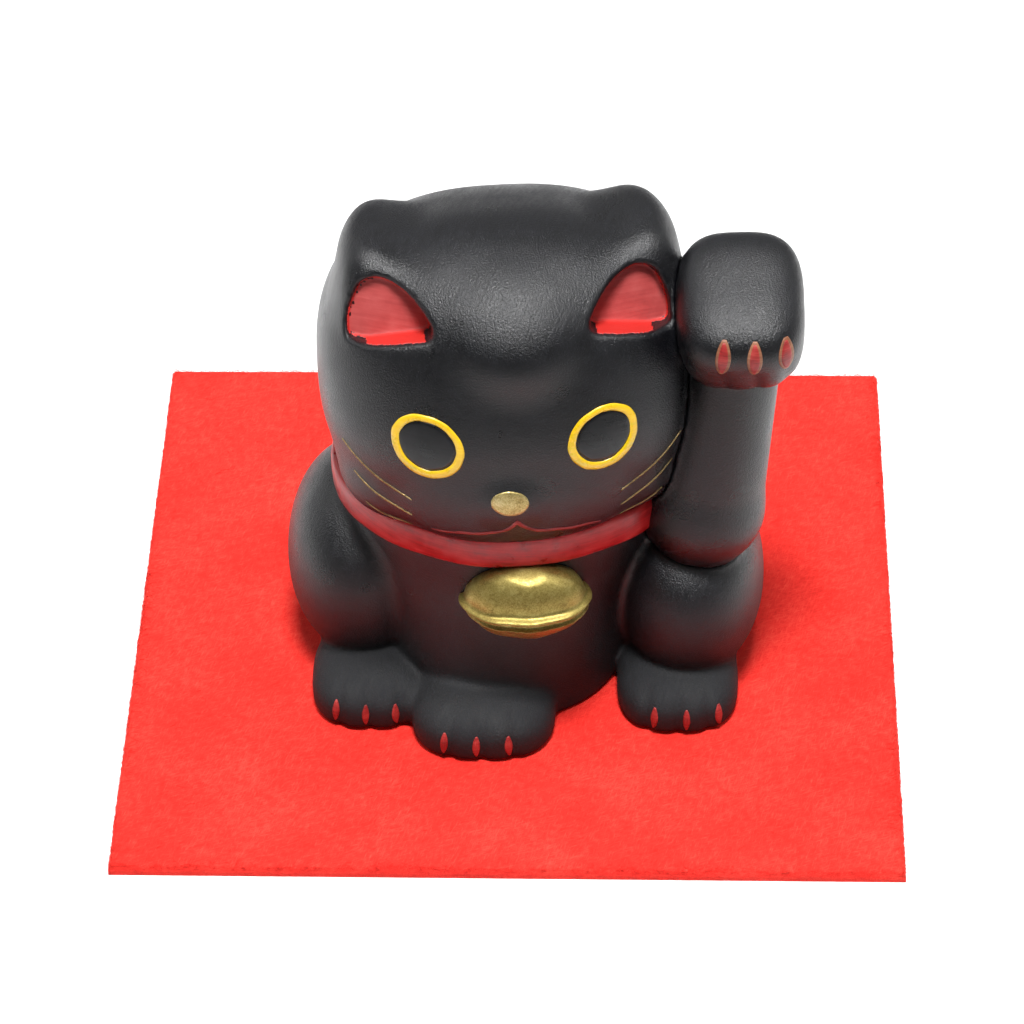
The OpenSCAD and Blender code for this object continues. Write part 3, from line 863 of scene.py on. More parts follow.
def net(values: Array, low: Array, step: float) -> tuple[Array, Array]:
    """Closed net of four-cornered faces where a grid of values crosses zero.

    Args:
        values: Field values on a grid.
        low: The grid's first point.
        step: The grid's spacing.

    Returns:
        Points, three rows, and faces, four columns.
    """
    inside = values < 0
    n = np.array(values.shape) - 1
    count = np.zeros(n, np.int8)
    corners = [(i, j, k) for i in (0, 1) for j in (0, 1) for k in (0, 1)]
    for i, j, k in corners:
        count += inside[i:n[0] + i, j:n[1] + j, k:n[2] + k]
    mixed = (count > 0) & (count < 8)
    at = np.argwhere(mixed)
    index = np.full(n, -1, np.int64)
    index[mixed] = np.arange(len(at))
    total = np.zeros((len(at), 3))
    hits = np.zeros(len(at))
    corner_value = {c: values[at[:, 0] + c[0], at[:, 1] + c[1], at[:, 2] + c[2]] for c in corners}
    for c in corners:
        for axis in range(3):
            if c[axis]:
                continue
            d = tuple(1 if a == axis else c[a] for a in range(3))
            va, vb = corner_value[c], corner_value[d]
            cross = (va < 0) != (vb < 0)
            t = np.where(cross, va / np.where(cross, va - vb, 1), 0)
            point = np.repeat(np.array([c], float), len(at), 0)
            point[:, axis] += t
            total += point * cross[:, None]
            hits += cross
    points = (at + total / hits[:, None]) * step + low
    faces = []
    for axis in range(3):
        b, c = (axis + 1) % 3, (axis + 2) % 3
        first = np.take(inside, range(n[axis]), axis)
        second = np.take(inside, range(1, n[axis] + 1), axis)
        edge = np.argwhere(first != second)
        edge = edge[(edge[:, b] > 0) & (edge[:, c] > 0)]
        leaving = first[tuple(edge.T)]
        ring = []
        for db, dc in ((1, 1), (0, 1), (0, 0), (1, 0)):
            cell = edge.copy()
            cell[:, b] -= db
            cell[:, c] -= dc
            ring.append(index[tuple(cell.T)])
        quad = np.stack(ring, 1)
        faces.append(np.where(leaving[:, None], quad, quad[:, ::-1]))
    return points.T.astype(np.float32), np.concatenate(faces)


def skin(shape: Field, low: Sequence[float], high: Sequence[float],
         step: float) -> tuple[Array, Array]:
    """Closed skin of a field.

    Args:
        shape: The field.
        low: Lowest corner of the space to search, in millimetres.
        high: Highest corner.
        step: Spacing of the net.

    Returns:
        Points, three rows, and faces, four columns.
    """
    axes = [np.arange(a, b + step, step, dtype=np.float32) for a, b in zip(low, high)]
    slabs = []
    for start in range(0, len(axes[0]), 24):
        grid = np.stack(np.meshgrid(axes[0][start:start + 24], axes[1], axes[2], indexing="ij"))
        slabs.append(shape(grid))
    values = np.concatenate(slabs)
    # The skin is closed where the form runs out of the space
    for axis in range(3):
        for end in (0, -1):
            values[(slice(None),) * axis + (end,)] = step
    points, faces = net(settle(values), np.array(low), step)
    # One move along the slope puts the points on the true surface, less at sharp edges
    pull = np.clip(shape(points), -0.4 * step, 0.4 * step)
    return points - gradient(shape, points) * pull, faces


def to_row(points: Array) -> Array:
    """Millimetre points, three rows, as rows of metres in the frame."""
    place = points.T * (SCALE * MM)
    return place + np.array([MAT_CENTRE[0], MAT_CENTRE[1], MAT_HIGH[2]])


def make_piece(name: str, points: Array, faces: Sequence[Sequence[int]], finish: Finishes,
               body: str, replaces: Sequence[str]) -> bpy.types.Object:
    """Makes one piece, dresses it, and ties it to the frame.

    Args:
        name: The piece's name.
        points: Rows of metres in the frame.
        faces: Corner numbers of each face.
        finish: What it is finished with.
        body: The body that it rides on.
        replaces: The frame's nodes that it stands for.

    Returns:
        The new object.
    """
    mesh = bpy.data.meshes.new(name)
    mesh.from_pydata(np.asarray(points).tolist(), [], [list(map(int, f)) for f in faces])
    mesh.validate()
    mesh.update()
    mesh.shade_smooth()
    piece = bpy.data.objects.new(name, mesh)
    bpy.context.scene.collection.objects.link(piece)
    mesh.materials.append(dressed(finish))
    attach(piece, body)
    if replaces:
        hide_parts(*replaces)
    log.info("%s: %d points, %d faces, %s", name, len(mesh.vertices), len(mesh.polygons),
             finish.value.name)
    return piece


MADE_MATERIALS: dict[Finishes, bpy.types.Material] = {}


def dressed(finish: Finishes) -> bpy.types.Material:
    """The material of a finish, made once."""
    if finish not in MADE_MATERIALS:
        MADE_MATERIALS[finish] = finish.value.material()
    return MADE_MATERIALS[finish]


# ---------------------------------------------------------------------------------------
# Castings
# ---------------------------------------------------------------------------------------

@dataclass
class Castings:
    """The three pottery castings: body, head and raised arm."""

    shape: CatShape
    step: float = 0.32
    boxes: dict = field(default_factory=lambda: {
        Part.BODY: ((-23.0, -24.0, -0.9), (25.0, 22.0, 26.0)),
        Part.HEAD: ((-20.0, -19.0, 16.0), (18.6, 17.0, 47.5)),
        Part.ARM: ((8.0, -16.5, 10.0), (27.0, 6.0, 47.5)),
    })

    def build(self) -> None:
        """Makes every casting."""
        for part, (low, high) in self.boxes.items():
            points, faces = skin(self.shape.casting(part), low, high, self.step)
            make_piece(f"{part.value}_skin", to_row(points), faces, Finishes.GLAZE, "cat",
                       [part.value])


# ---------------------------------------------------------------------------------------
# Collar and bell
# ---------------------------------------------------------------------------------------

@dataclass
class Collar:
    """The red band in low relief round the neck, from the raised arm back to it."""

    shape: CatShape
    middle: float = 19.6
    half_height: float = 1.8
    thickness: float = 0.85
    start: float = -28.0
    sweep: float = 286.0
    around: int = 260
    profile: int = 22

    def build(self) -> None:
        """Makes the band as a tube of cross-sections with closed ends."""
        angles = np.radians(self.start - self.sweep * np.arange(self.around + 1) / self.around)
        turn = np.linspace(0, 2 * np.pi, self.profile, endpoint=False)
        # A rounded bar: flat on the neck and domed outside
        up = np.sign(np.sin(turn)) * np.abs(np.sin(turn)) ** 0.6
        out = np.maximum(np.cos(turn), -0.5)
        rows = []
        for a in angles:
            wave = 0.10 * math.sin(5.3 * a + 1.0) + 0.06 * math.sin(11.7 * a)
            z = self.middle + up * self.half_height + wave
            lift = 0.05 + self.thickness * (0.33 + 0.67 * out)
            cx, cy, rx, ry = (self.shape.section(z, c) for c in (1, 2, 3, 4))
            rows.append(np.stack([cx + (rx + lift) * math.cos(a), cy + (ry + lift) * math.sin(a),
                                  z], 1))
        points = np.concatenate(rows)
        m, n = self.profile, len(angles)
        faces = [[i * m + j, i * m + (j + 1) % m, (i + 1) * m + (j + 1) % m, (i + 1) * m + j]
                 for i in range(n - 1) for j in range(m)]
        faces += [list(range(m - 1, -1, -1)), list(range((n - 1) * m, n * m))]
        make_piece("collar_band", to_row(points.T), faces, Finishes.COLLAR_ENAMEL, "cat",
                   ["collar"])


@dataclass
class Bell:
    """The gilt bell in relief on the chest: two domes, a rim, a neck and a sound slot."""

    shape: CatShape
    centre: tuple = (1.4, -14.6, 13.9)
    tilt: float = -2.0
    dome: tuple = (5.45, 3.2, 3.9)
    rim: tuple = (5.95, 3.95, 0.6)
    rim_z: float = 0.1
    step: float = 0.11

    def form(self, p: Array) -> Array:
        """Field of the bell."""
        q = local(p, self.centre, turned("Y", self.tilt))
        # Pressed a little out of true by hand
        q = q + 0.06 * np.sin(1.7 * q[[2, 0, 1]] + 0.6)
        shape = egg(q, self.dome, 2.1)
        shape = blend(shape, egg(local(q, (0, 0, self.rim_z)), self.rim, 2.0), 0.3)
        # A thinner bead under the rim, where the two halves are closed
        shape = blend(shape, egg(local(q, (0, 0, self.rim_z - 1.15)), (5.5, 3.5, 0.32), 2.0), 0.3)
        groove = np.abs(q[2] - self.rim_z + 0.75) - 0.1
        shape = carve(shape, -np.maximum(groove, -egg(q, (5.3, 3.2, 3.9), 2.1)), 0.12)
        # The hollow at its neck, where the loop goes under the collar
        shape = carve(shape, -egg(local(q, (0.5, -2.3, 4.3)), (2.7, 1.9, 0.95)), 0.4)
        slot = np.maximum(np.abs(q[0] - 0.3) - 0.3, q[2] + 3.0)
        shape = carve(shape, -slot, 0.25)
        return np.maximum(shape, 0.02 - self.shape.torso(p))

    def build(self) -> None:
        """Makes the bell."""
        points, faces = skin(self.form, (-5.2, -19.4, 9.0), (8.0, -12.2, 18.6), self.step)
        make_piece("jingle_bell", to_row(points), faces, Finishes.BELL_GILDING, "cat",
                   ["bell"])


# ---------------------------------------------------------------------------------------
# Painted marks
# ---------------------------------------------------------------------------------------

@dataclass
class Coat:
    """A brushed mark that lies on a field: thick in its middle and thin at its edge."""

    surface: Field
    direction: tuple = (0.0, 1.0, 0.0)
    reach: float = 26.0
    thickness: float = 0.1
    sunk: float = 0.06

    def cast(self, start: Array) -> Array:
        """Moves points along the coat's direction until they meet the surface.

        Args:
            start: Points, three rows, in front of the surface.

        Returns:
            The points on the surface.
        """
        d = np.array(self.direction, np.float32).reshape(3, *[1] * (start.ndim - 1))
        near = np.zeros(start.shape[1:], np.float32)
        # Short steps first, so that a point stops at the first surface that it meets
        for _ in range(90):
            gap = self.surface(start + d * near)
            near = np.minimum(near + np.maximum(gap, 0) * 0.55, self.reach)
        return start + d * near

    def lay(self, rings: Array, closed: bool, flat_top: float = 0.6,
            disc: bool = False) -> tuple[Array, list]:
        """Lays a coat over a grid of points.

        Args:
            rings: Points of shape (3, rings, points across the coat).
            closed: Whether the last ring joins the first.
            flat_top: Share of the width over which the coat has its full thickness.
            disc: Whether the rings close over their first points, which then aren't an edge.

        Returns:
            Points, three rows, and faces.
        """
        on = self.cast(rings)
        _, n, m = on.shape
        normal = gradient(self.surface, on.reshape(3, -1)).reshape(on.shape)
        across = np.abs(np.linspace(0 if disc else -1, 1, m))
        edge = np.clip((1 - across) / (1 - flat_top), 0, 1)
        lift = self.thickness * np.sqrt(edge) + 0.012
        top = on + normal * lift
        bottom = (on - normal * self.sunk)[:, :, ::-1]
        loop = np.concatenate([top, bottom], 2)
        k = 2 * m
        rows = n if closed else n - 1
        faces = [[i * k + j, i * k + (j + 1) % k, ((i + 1) % n) * k + (j + 1) % k,
                  ((i + 1) % n) * k + j] for i in range(rows) for j in range(k - disc)]
        if disc:
            faces += [[i * k for i in range(n)], [i * k + k - 1 for i in range(n - 1, -1, -1)]]
        if not closed:
            faces += [list(range(k - 1, -1, -1)), list(range((n - 1) * k, n * k))]
        return loop.reshape(3, -1), faces


def joined(parts: Sequence[tuple[Array, list]]) -> tuple[Array, list]:
    """Several closed shells as one mesh.

    Args:
        parts: Points and faces of each.

    Returns:
        Points and faces of them all.
    """
    points, faces, offset = [], [], 0
    for part_points, part_faces in parts:
        points.append(part_points)
        faces += [[c + offset for c in f] for f in part_faces]
        offset += part_points.shape[1]
    return np.concatenate(points, 1), faces


@dataclass
class FacePaint:
    """Eyes, nose, mouth and whiskers, laid out on the plane in front of the face."""

    shape: CatShape
    eyes: tuple = ((-7.6, 1.1), (7.5, 1.3))
    eye_radii: tuple = (3.25, 2.95)
    eye_tilt: tuple = (-40.0, 40.0)
    pupil_share: float = 0.76
    pupil_shift: tuple = ((-0.1, 0.14), (0.1, 0.2))
    nose: tuple = (-0.7, -4.1)
    nose_radii: tuple = (1.65, 1.25)
    mouth: tuple = (-0.1, -6.2)
    mouth_half: float = 7.4
    mouth_drop: float = 1.9
    whiskers: int = 3

    def on_face(self, x: Array, z: Array) -> Array:
        """Points in front of the face, from places across and up from the head's centre."""
        flat = np.stack([x, np.full_like(x, -22.0), z]).astype(np.float32)
        turn = turned("Z", self.shape.head_turn)
        centre = np.array(self.shape.head_centre, np.float32).reshape(3, *[1] * (flat.ndim - 1))
        return np.tensordot(turn, flat, axes=1) + centre

    def coat(self, thickness: float) -> Coat:
        """A coat of one thickness on the head."""
        ahead = tuple(turned("Z", self.shape.head_turn) @ np.array([0, 1, 0], np.float32))
        return Coat(self.shape.head, ahead, 24.0, thickness)

    def oval(self, centre: Sequence[float], radii: Sequence[float], tilt: float,
             inner: Callable[[Array], Array], outer: Callable[[Array], Array], around: int,
             across: int, wobble: float) -> Array:
        """Grid of points of an oval mark.

        Args:
            centre: Its middle on the face plane.
            radii: Its two radii.
            tilt: Its turn in degrees.
            inner: Inner edge as a share of the radius, by angle.
            outer: Outer edge as a share of the radius, by angle.
            around: Points round it.
            across: Points from edge to edge.
            wobble: How uneven the hand-painted edge is, as a share of the radius.

        Returns:
            Points in front of the face, of shape (3, around, across).
        """
        a = np.linspace(0, 2 * np.pi, around, endpoint=False)[:, None]
        uneven = 1 + wobble * (np.sin(3 * a + centre[0]) + 0.6 * np.sin(7 * a + 2)
                               + 0.35 * np.sin(13 * a))
        share = inner(a) + (outer(a) - inner(a)) * np.linspace(0, 1, across)[None, :]
        share = share * uneven
        ex, ez = radii[0] * share * np.cos(a), radii[1] * share * np.sin(a)
        c, s = math.cos(math.radians(tilt)), math.sin(math.radians(tilt))
        return self.on_face(centre[0] + ex * c - ez * s, centre[1] + ex * s + ez * c)

    def stroke(self, path: Array, width: float, taper: Array, across: int = 7) -> Array:
        """Grid of points of a brush stroke.

        Args:
            path: Points on the face plane, two columns.
            width: Its full width.
            taper: Share of the width at each point.
            across: Points from edge to edge.

        Returns:
            Points in front of the face, of shape (3, path points, across).
        """
        along = np.gradient(path, axis=0)
        along /= np.linalg.norm(along, axis=1)[:, None]
        side = np.stack([-along[:, 1], along[:, 0]], 1) * (width / 2 * taper)[:, None]
        t = np.linspace(1, -1, across)
        grid = path[:, None, :] + side[:, None, :] * t[None, :, None]
        return self.on_face(grid[..., 0], grid[..., 1])

    def paint(self, name: str, parts: Sequence[tuple[Array, list]], finish: Finishes,
              node_name: str, slot: str) -> None:
        """Makes one painted piece from its coats."""
        points, faces = joined(parts)
        make_piece(name, to_row(points), faces, finish, "cat", [node_name])

    def build(self) -> None:
        """Paints the face."""
        for side, centre, tilt, shift in zip(("left", "right"), self.eyes, self.eye_tilt,
                                             self.pupil_shift):
            pupil_centre = (centre[0] + shift[0], centre[1] + shift[1])
            ring = self.oval(centre, self.eye_radii, tilt,
                             lambda a: self.pupil_share + 0.03 * np.sin(a + math.radians(tilt)),
                             lambda a: 0.985 + 0.02 * np.exp(-((a - 4.9) * 3) ** 2),
                             120, 13, 0.009)
            self.paint(f"{side}_eye_ring_coat", [self.coat(0.13).lay(ring, True, 0.4)],
                       Finishes.EYE_ENAMEL, f"{side}_eye_ring", "yellow_enamel")
            radii = [r * (self.pupil_share - 0.02) for r in self.eye_radii]
            disc = self.oval(pupil_centre, radii, tilt, lambda a: np.full_like(a, 0.07),
                             lambda a: np.ones_like(a) * 1.02, 96, 14, 0.008)
            self.paint(f"{side}_pupil_coat", [self.coat(0.05).lay(disc, True, 0.9, True)],
                       Finishes.PUPIL_ENAMEL, f"{side}_pupil", "pupil_black")
        nose = self.oval(self.nose, self.nose_radii, -6, lambda a: np.full_like(a, 0.1),
                         lambda a: np.ones_like(a), 72, 12, 0.01)
        self.paint("nose_gilt_coat", [self.coat(0.09).lay(nose, True, 0.85, True)],
                   Finishes.FACE_GILDING, "nose_gilding", "gilt_paint")
        self.build_mouth()
        for side, sign in (("left", -1), ("right", 1)):
            self.build_whiskers(side, sign)

    def build_mouth(self) -> None:
        """Paints the mouth: a peak under the nose and a line out along the chin."""
        t = np.linspace(-1, 1, 121)
        drop = self.mouth_drop * (np.exp(-8 * np.abs(t)) - 1) + 0.05 * np.sin(17 * t)
        path = np.stack([self.mouth[0] + self.mouth_half * t, self.mouth[1] + drop], 1)
        taper = 0.3 + 0.7 * np.sqrt(np.clip(1 - np.abs(t) ** 3, 0, 1))
        coat = self.coat(0.07).lay(self.stroke(path, 0.42, taper), False, 0.5)
        self.paint("mouth_line_coat", [coat], Finishes.MOUTH_ENAMEL, "mouth_line", "line_red")

    def build_whiskers(self, side: str, sign: int) -> None:
        """Paints one cheek's whiskers: arcs that fan out and thin towards their tips.

        Args:
            side: "left" or "right".
            sign: Minus one on the left and one on the right.
        """
        coats = []
        for k in range(self.whiskers):
            root = np.array([sign * 9.1, -5 - 1.9 * k])
            tip = np.array([sign * (14.8 - 0.9 * k), -1.7 - 2.9 * k])
            t = np.linspace(0, 1, 60)[:, None]
            path = root + (tip - root) * t - np.array([0, 1.6]) * t * (1 - t)
            taper = (0.25 + 0.75 * np.sin(np.pi * t[:, 0]) ** 0.6) * (1 - 0.35 * t[:, 0])
            grid = self.stroke(path if sign > 0 else path[::-1], 0.27,
                               taper if sign > 0 else taper[::-1], 5)
            coats.append(self.coat(0.05).lay(grid, False, 0.4))
        self.paint(f"{side}_whisker_coat", coats, Finishes.WHISKER_GILDING, f"{side}_whiskers",
                   "gilt_paint")


@dataclass
class EarLinings:
    """The red paint inside each ear's hollow, on its back wall and its floor."""

    shape: CatShape
    step: float = 0.13
    box: float = 6.5
    reach: float = 0.02
    lift: float = 0.05
    sunk: float = 0.08

    def build(self) -> None:
        """Paints both ears."""
        for side, sign in (("left", -1), ("right", 1)):
            turn = turned("Z", self.shape.head_turn)
            middle = turn @ np.array([sign * self.shape.ear_x, *self.shape.ear_cut[1:]])
            middle = middle + np.array(self.shape.head_centre)
            points, faces = skin(self.shape.head, middle - self.box, middle + self.box,
                                 self.step)
            q = self.shape.in_head(points)
            pocket = self.shape.ear_pocket(q, sign)
            inner = (pocket < self.reach) & self.shape.ear_painted(q, sign)
            edge_of_box = np.abs(points - middle[:, None]).max(0) > self.box - 0.2
            faces = faces[(inner & ~edge_of_box)[faces].all(1)]
            self.shell(f"{side}_ear_lining_coat", points, faces, f"{side}_ear_lining")

    def shell(self, name: str, points: Array, faces: Array, node_name: str) -> None:
        """Closes a patch of skin into a thin coat and makes it a piece.

        Args:
            name: The piece's name.
            points: The skin's points.
            faces: The patch's faces.
            node_name: The node that it stands for.
        """
        used, flat = np.unique(faces, return_inverse=True)
        faces = flat.reshape(faces.shape)
        on = points[:, used]
        normal = gradient(self.shape.head, on)
        both = np.concatenate([on + normal * self.lift, on - normal * self.sunk], 1)
        n = len(used)
        sides = {}
        for f in faces:
            for a, b in zip(f, np.roll(f, -1)):
                if (b, a) in sides:
                    del sides[(b, a)]
                else:
                    sides[(a, b)] = True
        walls = [[b, a, a + n, b + n] for a, b in sides]
        closed = faces.tolist() + [[c + n for c in f[::-1]] for f in faces.tolist()] + walls
        make_piece(name, to_row(both), closed, Finishes.EAR_ENAMEL, "cat", [node_name])


@dataclass
class Claws:
    """Three painted claws on a foot: almond strokes between its toes."""

    shape: CatShape
    name: str
    surface: str
    at: tuple
    pitch: float
    height: float
    width: float
    count: int = 3
    edged: bool = False

    def strokes(self, grown: float, thickness: float) -> list[tuple[Array, list]]:
        """Lays one almond stroke for each claw.

        Args:
            grown: How much wider and taller the strokes are than the claws, as a factor.
            thickness: Thickness of the coat.

        Returns:
            Points and faces of each stroke.
        """
        coats = []
        for k in range(self.count):
            x = self.at[0] + self.pitch * (k - (self.count - 1) / 2)
            t = np.linspace(0, 1, 28)[:, None]
            tall = self.height * (1 + (grown - 1) * 0.4)
            half = self.width / 2 * grown * np.sin(np.pi * (t * 0.94 + 0.03)) ** 0.6
            lean = 0.06 * tall * (t - 0.5) * (1 - k)
            across = np.linspace(-1, 1, 9)[None, :]
            grid_x = x + lean - half * across
            grid_z = self.at[1] + tall * (t - 0.5) + 0.06 * np.sin(2.3 * k + 1) + 0 * across
            rings = np.stack([grid_x, np.full_like(grid_x, -30.0), grid_z]).astype(np.float32)
            surface = getattr(self.shape, self.surface)
            coats.append(Coat(surface, (0, 1, 0), 30.0, thickness).lay(rings, False, 0.6))
        return coats

    def build(self) -> None:
        """Paints the claws, over a slightly larger ochre stroke where they have an edge."""
        coats = self.strokes(1.0, 0.09)
        reds = sum(len(faces) for _, faces in coats)
        if self.edged:
            coats += self.strokes(1.4, 0.03)
        points, faces = joined(coats)
        piece = make_piece(f"{self.name}_coat", to_row(points), faces, Finishes.LINE_ENAMEL,
                           "cat", [self.name])
        if self.edged:
            piece.data.materials.append(dressed(Finishes.CLAW_EDGE_ENAMEL))
            for face in piece.data.polygons[reds:]:
                face.material_index = 1


# ---------------------------------------------------------------------------------------
# Mat
# ---------------------------------------------------------------------------------------

@dataclass
class FeltMat:
    """The square mat: a thin slab of pressed felt with soft, slightly uneven edges."""

    cells: int = 230
    layers: int = 4
    inset: float = 0.00012
    swell: float = 0.00006
    hairs: int = 5200
    hair_r: float = 0.000017

    def build(self) -> None:
        """Makes the mat and the loose fibres that stand out of it."""
        rng = np.random.default_rng(7)
        slab = self.slab(rng)
        fibres = self.fibres(rng)

    def height(self, x: Array, y: Array) -> Array:
        """Uneven height of the felt's top, as a share of the swell.

        Args:
            x: Places across, in metres.
            y: Places along, in metres.

        Returns:
            Values from about minus one to one.
        """
        waves = np.zeros_like(x)
        for k, (fx, fy, ph) in enumerate(((410, 130, 0.3), (-260, 350, 1.9), (690, -540, 4.0),
                                          (1150, 820, 2.2), (-1500, 1330, 5.1))):
            waves += np.sin(fx * x + fy * y + ph) / (1.5 + 0.7 * k)
        return waves / 2.2

    def slab(self, rng: np.random.Generator) -> bpy.types.Object:
        """Makes the slab as a closed grid whose edges are rounded.

        Args:
            rng: The seeded source of unevenness.

        Returns:
            The slab.
        """
        n = self.cells
        low, high = np.array(MAT_LOW) + self.inset, np.array(MAT_HIGH) - self.inset
        low[2], high[2] = MAT_LOW[2], MAT_HIGH[2] - self.swell
        s = np.linspace(0, 1, n + 1)
        gx, gy = np.meshgrid(s, s, indexing="ij")
        border = np.minimum.reduce([gx, 1 - gx, gy, 1 - gy]) * (high[0] - low[0])
        thick = high[2] - low[2]
        # The cut edge is rounded off by a little over a third of the felt's thickness
        round_r = thick * 0.38
        fall = np.clip(1 - border / round_r, 0, 1)
        drop = round_r * (1 - np.sqrt(np.maximum(1 - fall ** 2, 0)))
        x = low[0] + gx * (high[0] - low[0])
        y = low[1] + gy * (high[1] - low[1])
        ragged = rng.normal(0, 0.00003, x.shape) * (border < 1e-9)
        top = np.stack([x + ragged, y + ragged.T,
                        high[2] - drop + self.swell * self.height(x, y)], -1)
        bottom = np.stack([x, y, np.full_like(x, low[2])], -1)
        points = np.concatenate([top.reshape(-1, 3), bottom.reshape(-1, 3)])
        at = np.arange((n + 1) ** 2).reshape(n + 1, n + 1)
        quads = np.stack([at[:-1, :-1], at[1:, :-1], at[1:, 1:], at[:-1, 1:]], -1).reshape(-1, 4)
        under = quads[:, ::-1] + (n + 1) ** 2
        rim = np.concatenate([at[:, 0], at[-1, 1:], at[-2::-1, -1], at[0, -2:0:-1]])
        after = np.roll(rim, -1)
        walls = np.stack([rim, rim + (n + 1) ** 2, after + (n + 1) ** 2, after], 1)
        faces = np.concatenate([quads, under, walls])
        return make_piece("felt_mat_cloth", points, faces, Finishes.FELT, "mat", ["felt_mat"])

    def fibres(self, rng: np.random.Generator) -> bpy.types.Object:
        """Makes the loose fibres: short curved hairs, most of them along the cut edges.

        Args:
            rng: The seeded source of places.

        Returns:
            The fibres as one piece.
        """
        size = np.array(MAT_HIGH) - np.array(MAT_LOW)
        middle = np.array(MAT_CENTRE)
        keep = self.inset * 2
        points, faces = [], []
        for i in range(self.hairs):
            at_edge = i % 3 != 0
            spot = rng.uniform(-0.5, 0.5, 2)
            if at_edge:
                side = rng.integers(0, 4)
                spot[side % 2] = (0.5 if side < 2 else -0.5) * rng.uniform(0.992, 1.0)
            root = np.array([*(spot * (size[:2] - 2 * keep)), size[2] / 2 - 0.00008])
            heading = rng.uniform(0, 2 * np.pi)
            length = rng.uniform(0.0004, 0.0013)
            bend = rng.uniform(-1.3, 1.3)
            rise = rng.uniform(0.02, 0.06) * (1 if at_edge else 0.7)
            line = []
            for t in np.linspace(0, 1, 5):
                a = heading + bend * t
                step = np.array([math.cos(a) * t, math.sin(a) * t, rise * math.sin(math.pi * t)])
                place = root + step * length
                place[:2] = np.clip(place[:2], -size[:2] / 2 + keep / 2, size[:2] / 2 - keep / 2)
                place[2] = min(place[2], size[2] / 2 - self.hair_r)
                line.append(place + middle)
            offset = 15 * i
            for k, place in enumerate(line):
                for c in range(3):
                    a = 2 * math.pi * c / 3
                    thin = self.hair_r * (1 - 0.6 * k / 4)
                    points.append(place + np.array([math.cos(a + heading), math.sin(a + heading),
                                                    math.cos(a) * 0.8]) * thin)
            for k in range(4):
                for c in range(3):
                    a, b = offset + 3 * k + c, offset + 3 * k + (c + 1) % 3
                    faces.append([a, b, b + 3, a + 3])
            faces.append([offset + 2, offset + 1, offset])
            faces.append([offset + 12, offset + 13, offset + 14])
        return make_piece("felt_mat_fibres", np.array(points), faces, Finishes.FELT, "mat", [])


# ---------------------------------------------------------------------------------------
# Studio
# ---------------------------------------------------------------------------------------

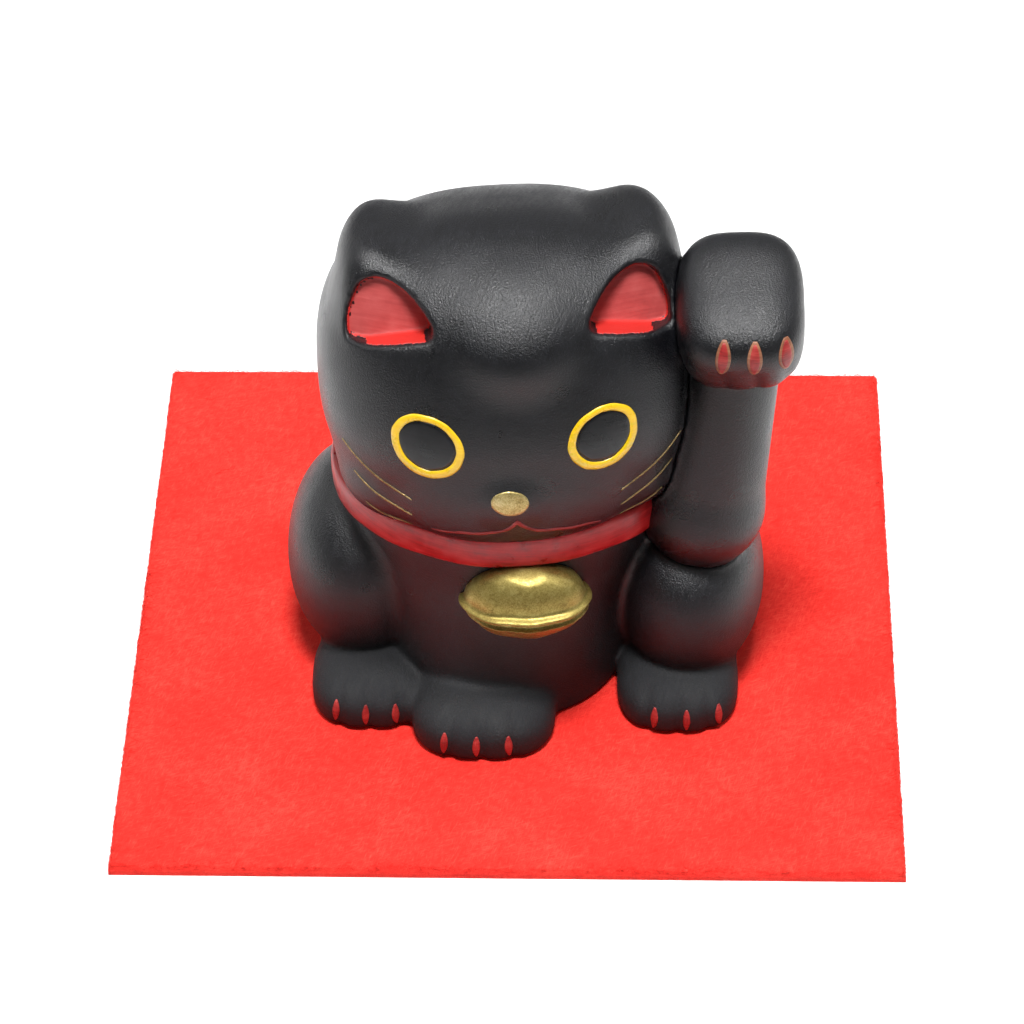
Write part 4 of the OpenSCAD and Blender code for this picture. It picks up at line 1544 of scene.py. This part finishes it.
@dataclass
class Studio:
    """Camera, soft light and a pale floor. The camera's place is in units of the mat's side."""

    camera_at: tuple = (0.15149667, -4.46452024, 3.96708426)
    yaw: float = 1.98314192
    pitch: float = 40.41884051
    roll: float = -0.87277404
    lens_per_width: float = 4.3818
    sensor: float = 36.0
    front_light: float = 0.03
    back_light: float = 0.4
    # Name, place in metres, side in metres and power in watts of each soft box
    lamps: tuple = (("above", (0.01, -0.13, 0.6), 0.15, 5.5),
                    ("left", (-0.6, 0.25, 0.5), 0.3, 1.2),
                    ("right", (0.6, 0.2, 0.5), 0.3, 0.9))

    def build(self) -> None:
        """Makes the whole studio."""
        self.camera()
        self.floor()
        self.lights()
        self.world()
        bpy.context.scene.view_settings.view_transform = "Standard"

    def camera(self) -> None:
        """Places the camera above and in front, looking down at the cat."""
        side = MAT_HIGH[0] - MAT_LOW[0]
        data = bpy.data.cameras.new("camera")
        data.sensor_width = self.sensor
        data.lens = self.lens_per_width * self.sensor
        data.clip_start, data.clip_end = 0.01, 20
        camera = bpy.data.objects.new("camera", data)
        bpy.context.scene.collection.objects.link(camera)
        yaw, pitch, roll = (math.radians(a) for a in (self.yaw, self.pitch, self.roll))
        ahead = Vector((-math.sin(yaw) * math.cos(pitch), math.cos(yaw) * math.cos(pitch),
                        -math.sin(pitch)))
        right = Vector((math.cos(yaw), math.sin(yaw), 0))
        up = right.cross(ahead)
        level = Matrix((right, up, -ahead)).transposed().to_4x4()
        place = Vector(self.camera_at) * side + Vector((MAT_CENTRE[0], MAT_CENTRE[1], MAT_HIGH[2]))
        # The roll is taken about the camera's own line of sight
        camera.matrix_world = Matrix.Translation(place) @ level @ Matrix.Rotation(roll, 4, "Z")
        bpy.context.scene.camera = camera

    def floor(self) -> None:
        """Makes the pale floor, a wide disc a hair below the mat."""
        radius, around = 6.0, 96
        angles = np.linspace(0, 2 * np.pi, around, endpoint=False)
        points = [(radius * math.cos(a), radius * math.sin(a), MAT_LOW[2] - 2e-5) for a in angles]
        mesh = bpy.data.meshes.new("floor")
        mesh.from_pydata(points, [], [list(range(around))])
        floor = bpy.data.objects.new("floor", mesh)
        bpy.context.scene.collection.objects.link(floor)
        mesh.materials.append(dressed(Finishes.BOARD))

    def lights(self) -> None:
        """Hangs the soft boxes: one above and a little in front, and one on each side."""
        for name, place, size, power in self.lamps:
            data = bpy.data.lights.new(name, "AREA")
            data.energy, data.size = power, size
            lamp = bpy.data.objects.new(name, data)
            lamp.location = place
            lamp.rotation_mode = "QUATERNION"
            aim = Vector((0, 0, 0.02)) - Vector(place)
            lamp.rotation_quaternion = aim.to_track_quat("-Z", "Y")
            bpy.context.scene.collection.objects.link(lamp)

    def world(self) -> None:
        """Makes the surroundings: white overhead and behind, and grey in front of the cat."""
        world = bpy.data.worlds.new("studio_room")
        world.use_nodes = True
        tree = world.node_tree
        background = tree.nodes["Background"]
        way = node(tree, "ShaderNodeTexCoord").outputs["Generated"]
        behind = node(tree, "ShaderNodeVectorMath", {"operation": "DOT_PRODUCT",
                                                     1: (0.0, 0.6, 0.8)}, {0: way})
        light = node(tree, "ShaderNodeMapRange", {1: -0.35, 2: 0.9, 3: self.front_light,
                                                  4: self.back_light,
                                                  "interpolation_type": "SMOOTHSTEP"},
                     {0: behind.outputs["Value"]})
        tree.links.new(light.outputs[0], background.inputs[1])
        background.inputs[0].default_value = (1, 1, 1, 1)
        bpy.context.scene.world = world


def main() -> None:
    """Builds the figurine, its mat and the studio, in order."""
    logging.basicConfig(level=logging.INFO, format="%(message)s")
    shape = CatShape()
    Studio().build()
    FeltMat().build()
    Castings(shape).build()
    Collar(shape).build()
    Bell(shape).build()
    EarLinings(shape).build()
    FacePaint(shape).build()
    for claws in (Claws(shape, "raised_paw_claws", "arm", (21.1, 39.9), 2.7, 2.8, 0.95,
                        edged=True),
                  Claws(shape, "front_paw_claws", "body", (-3.0, 1.75), 2.9, 2.0, 0.7),
                  Claws(shape, "left_foot_claws", "body", (-13.1, 1.75), 2.7, 1.9, 0.65),
                  Claws(shape, "right_foot_claws", "body", (15.8, 1.7), 2.9, 2.0, 0.65)):
        claws.build()


if __name__ == "__main__":
    main()
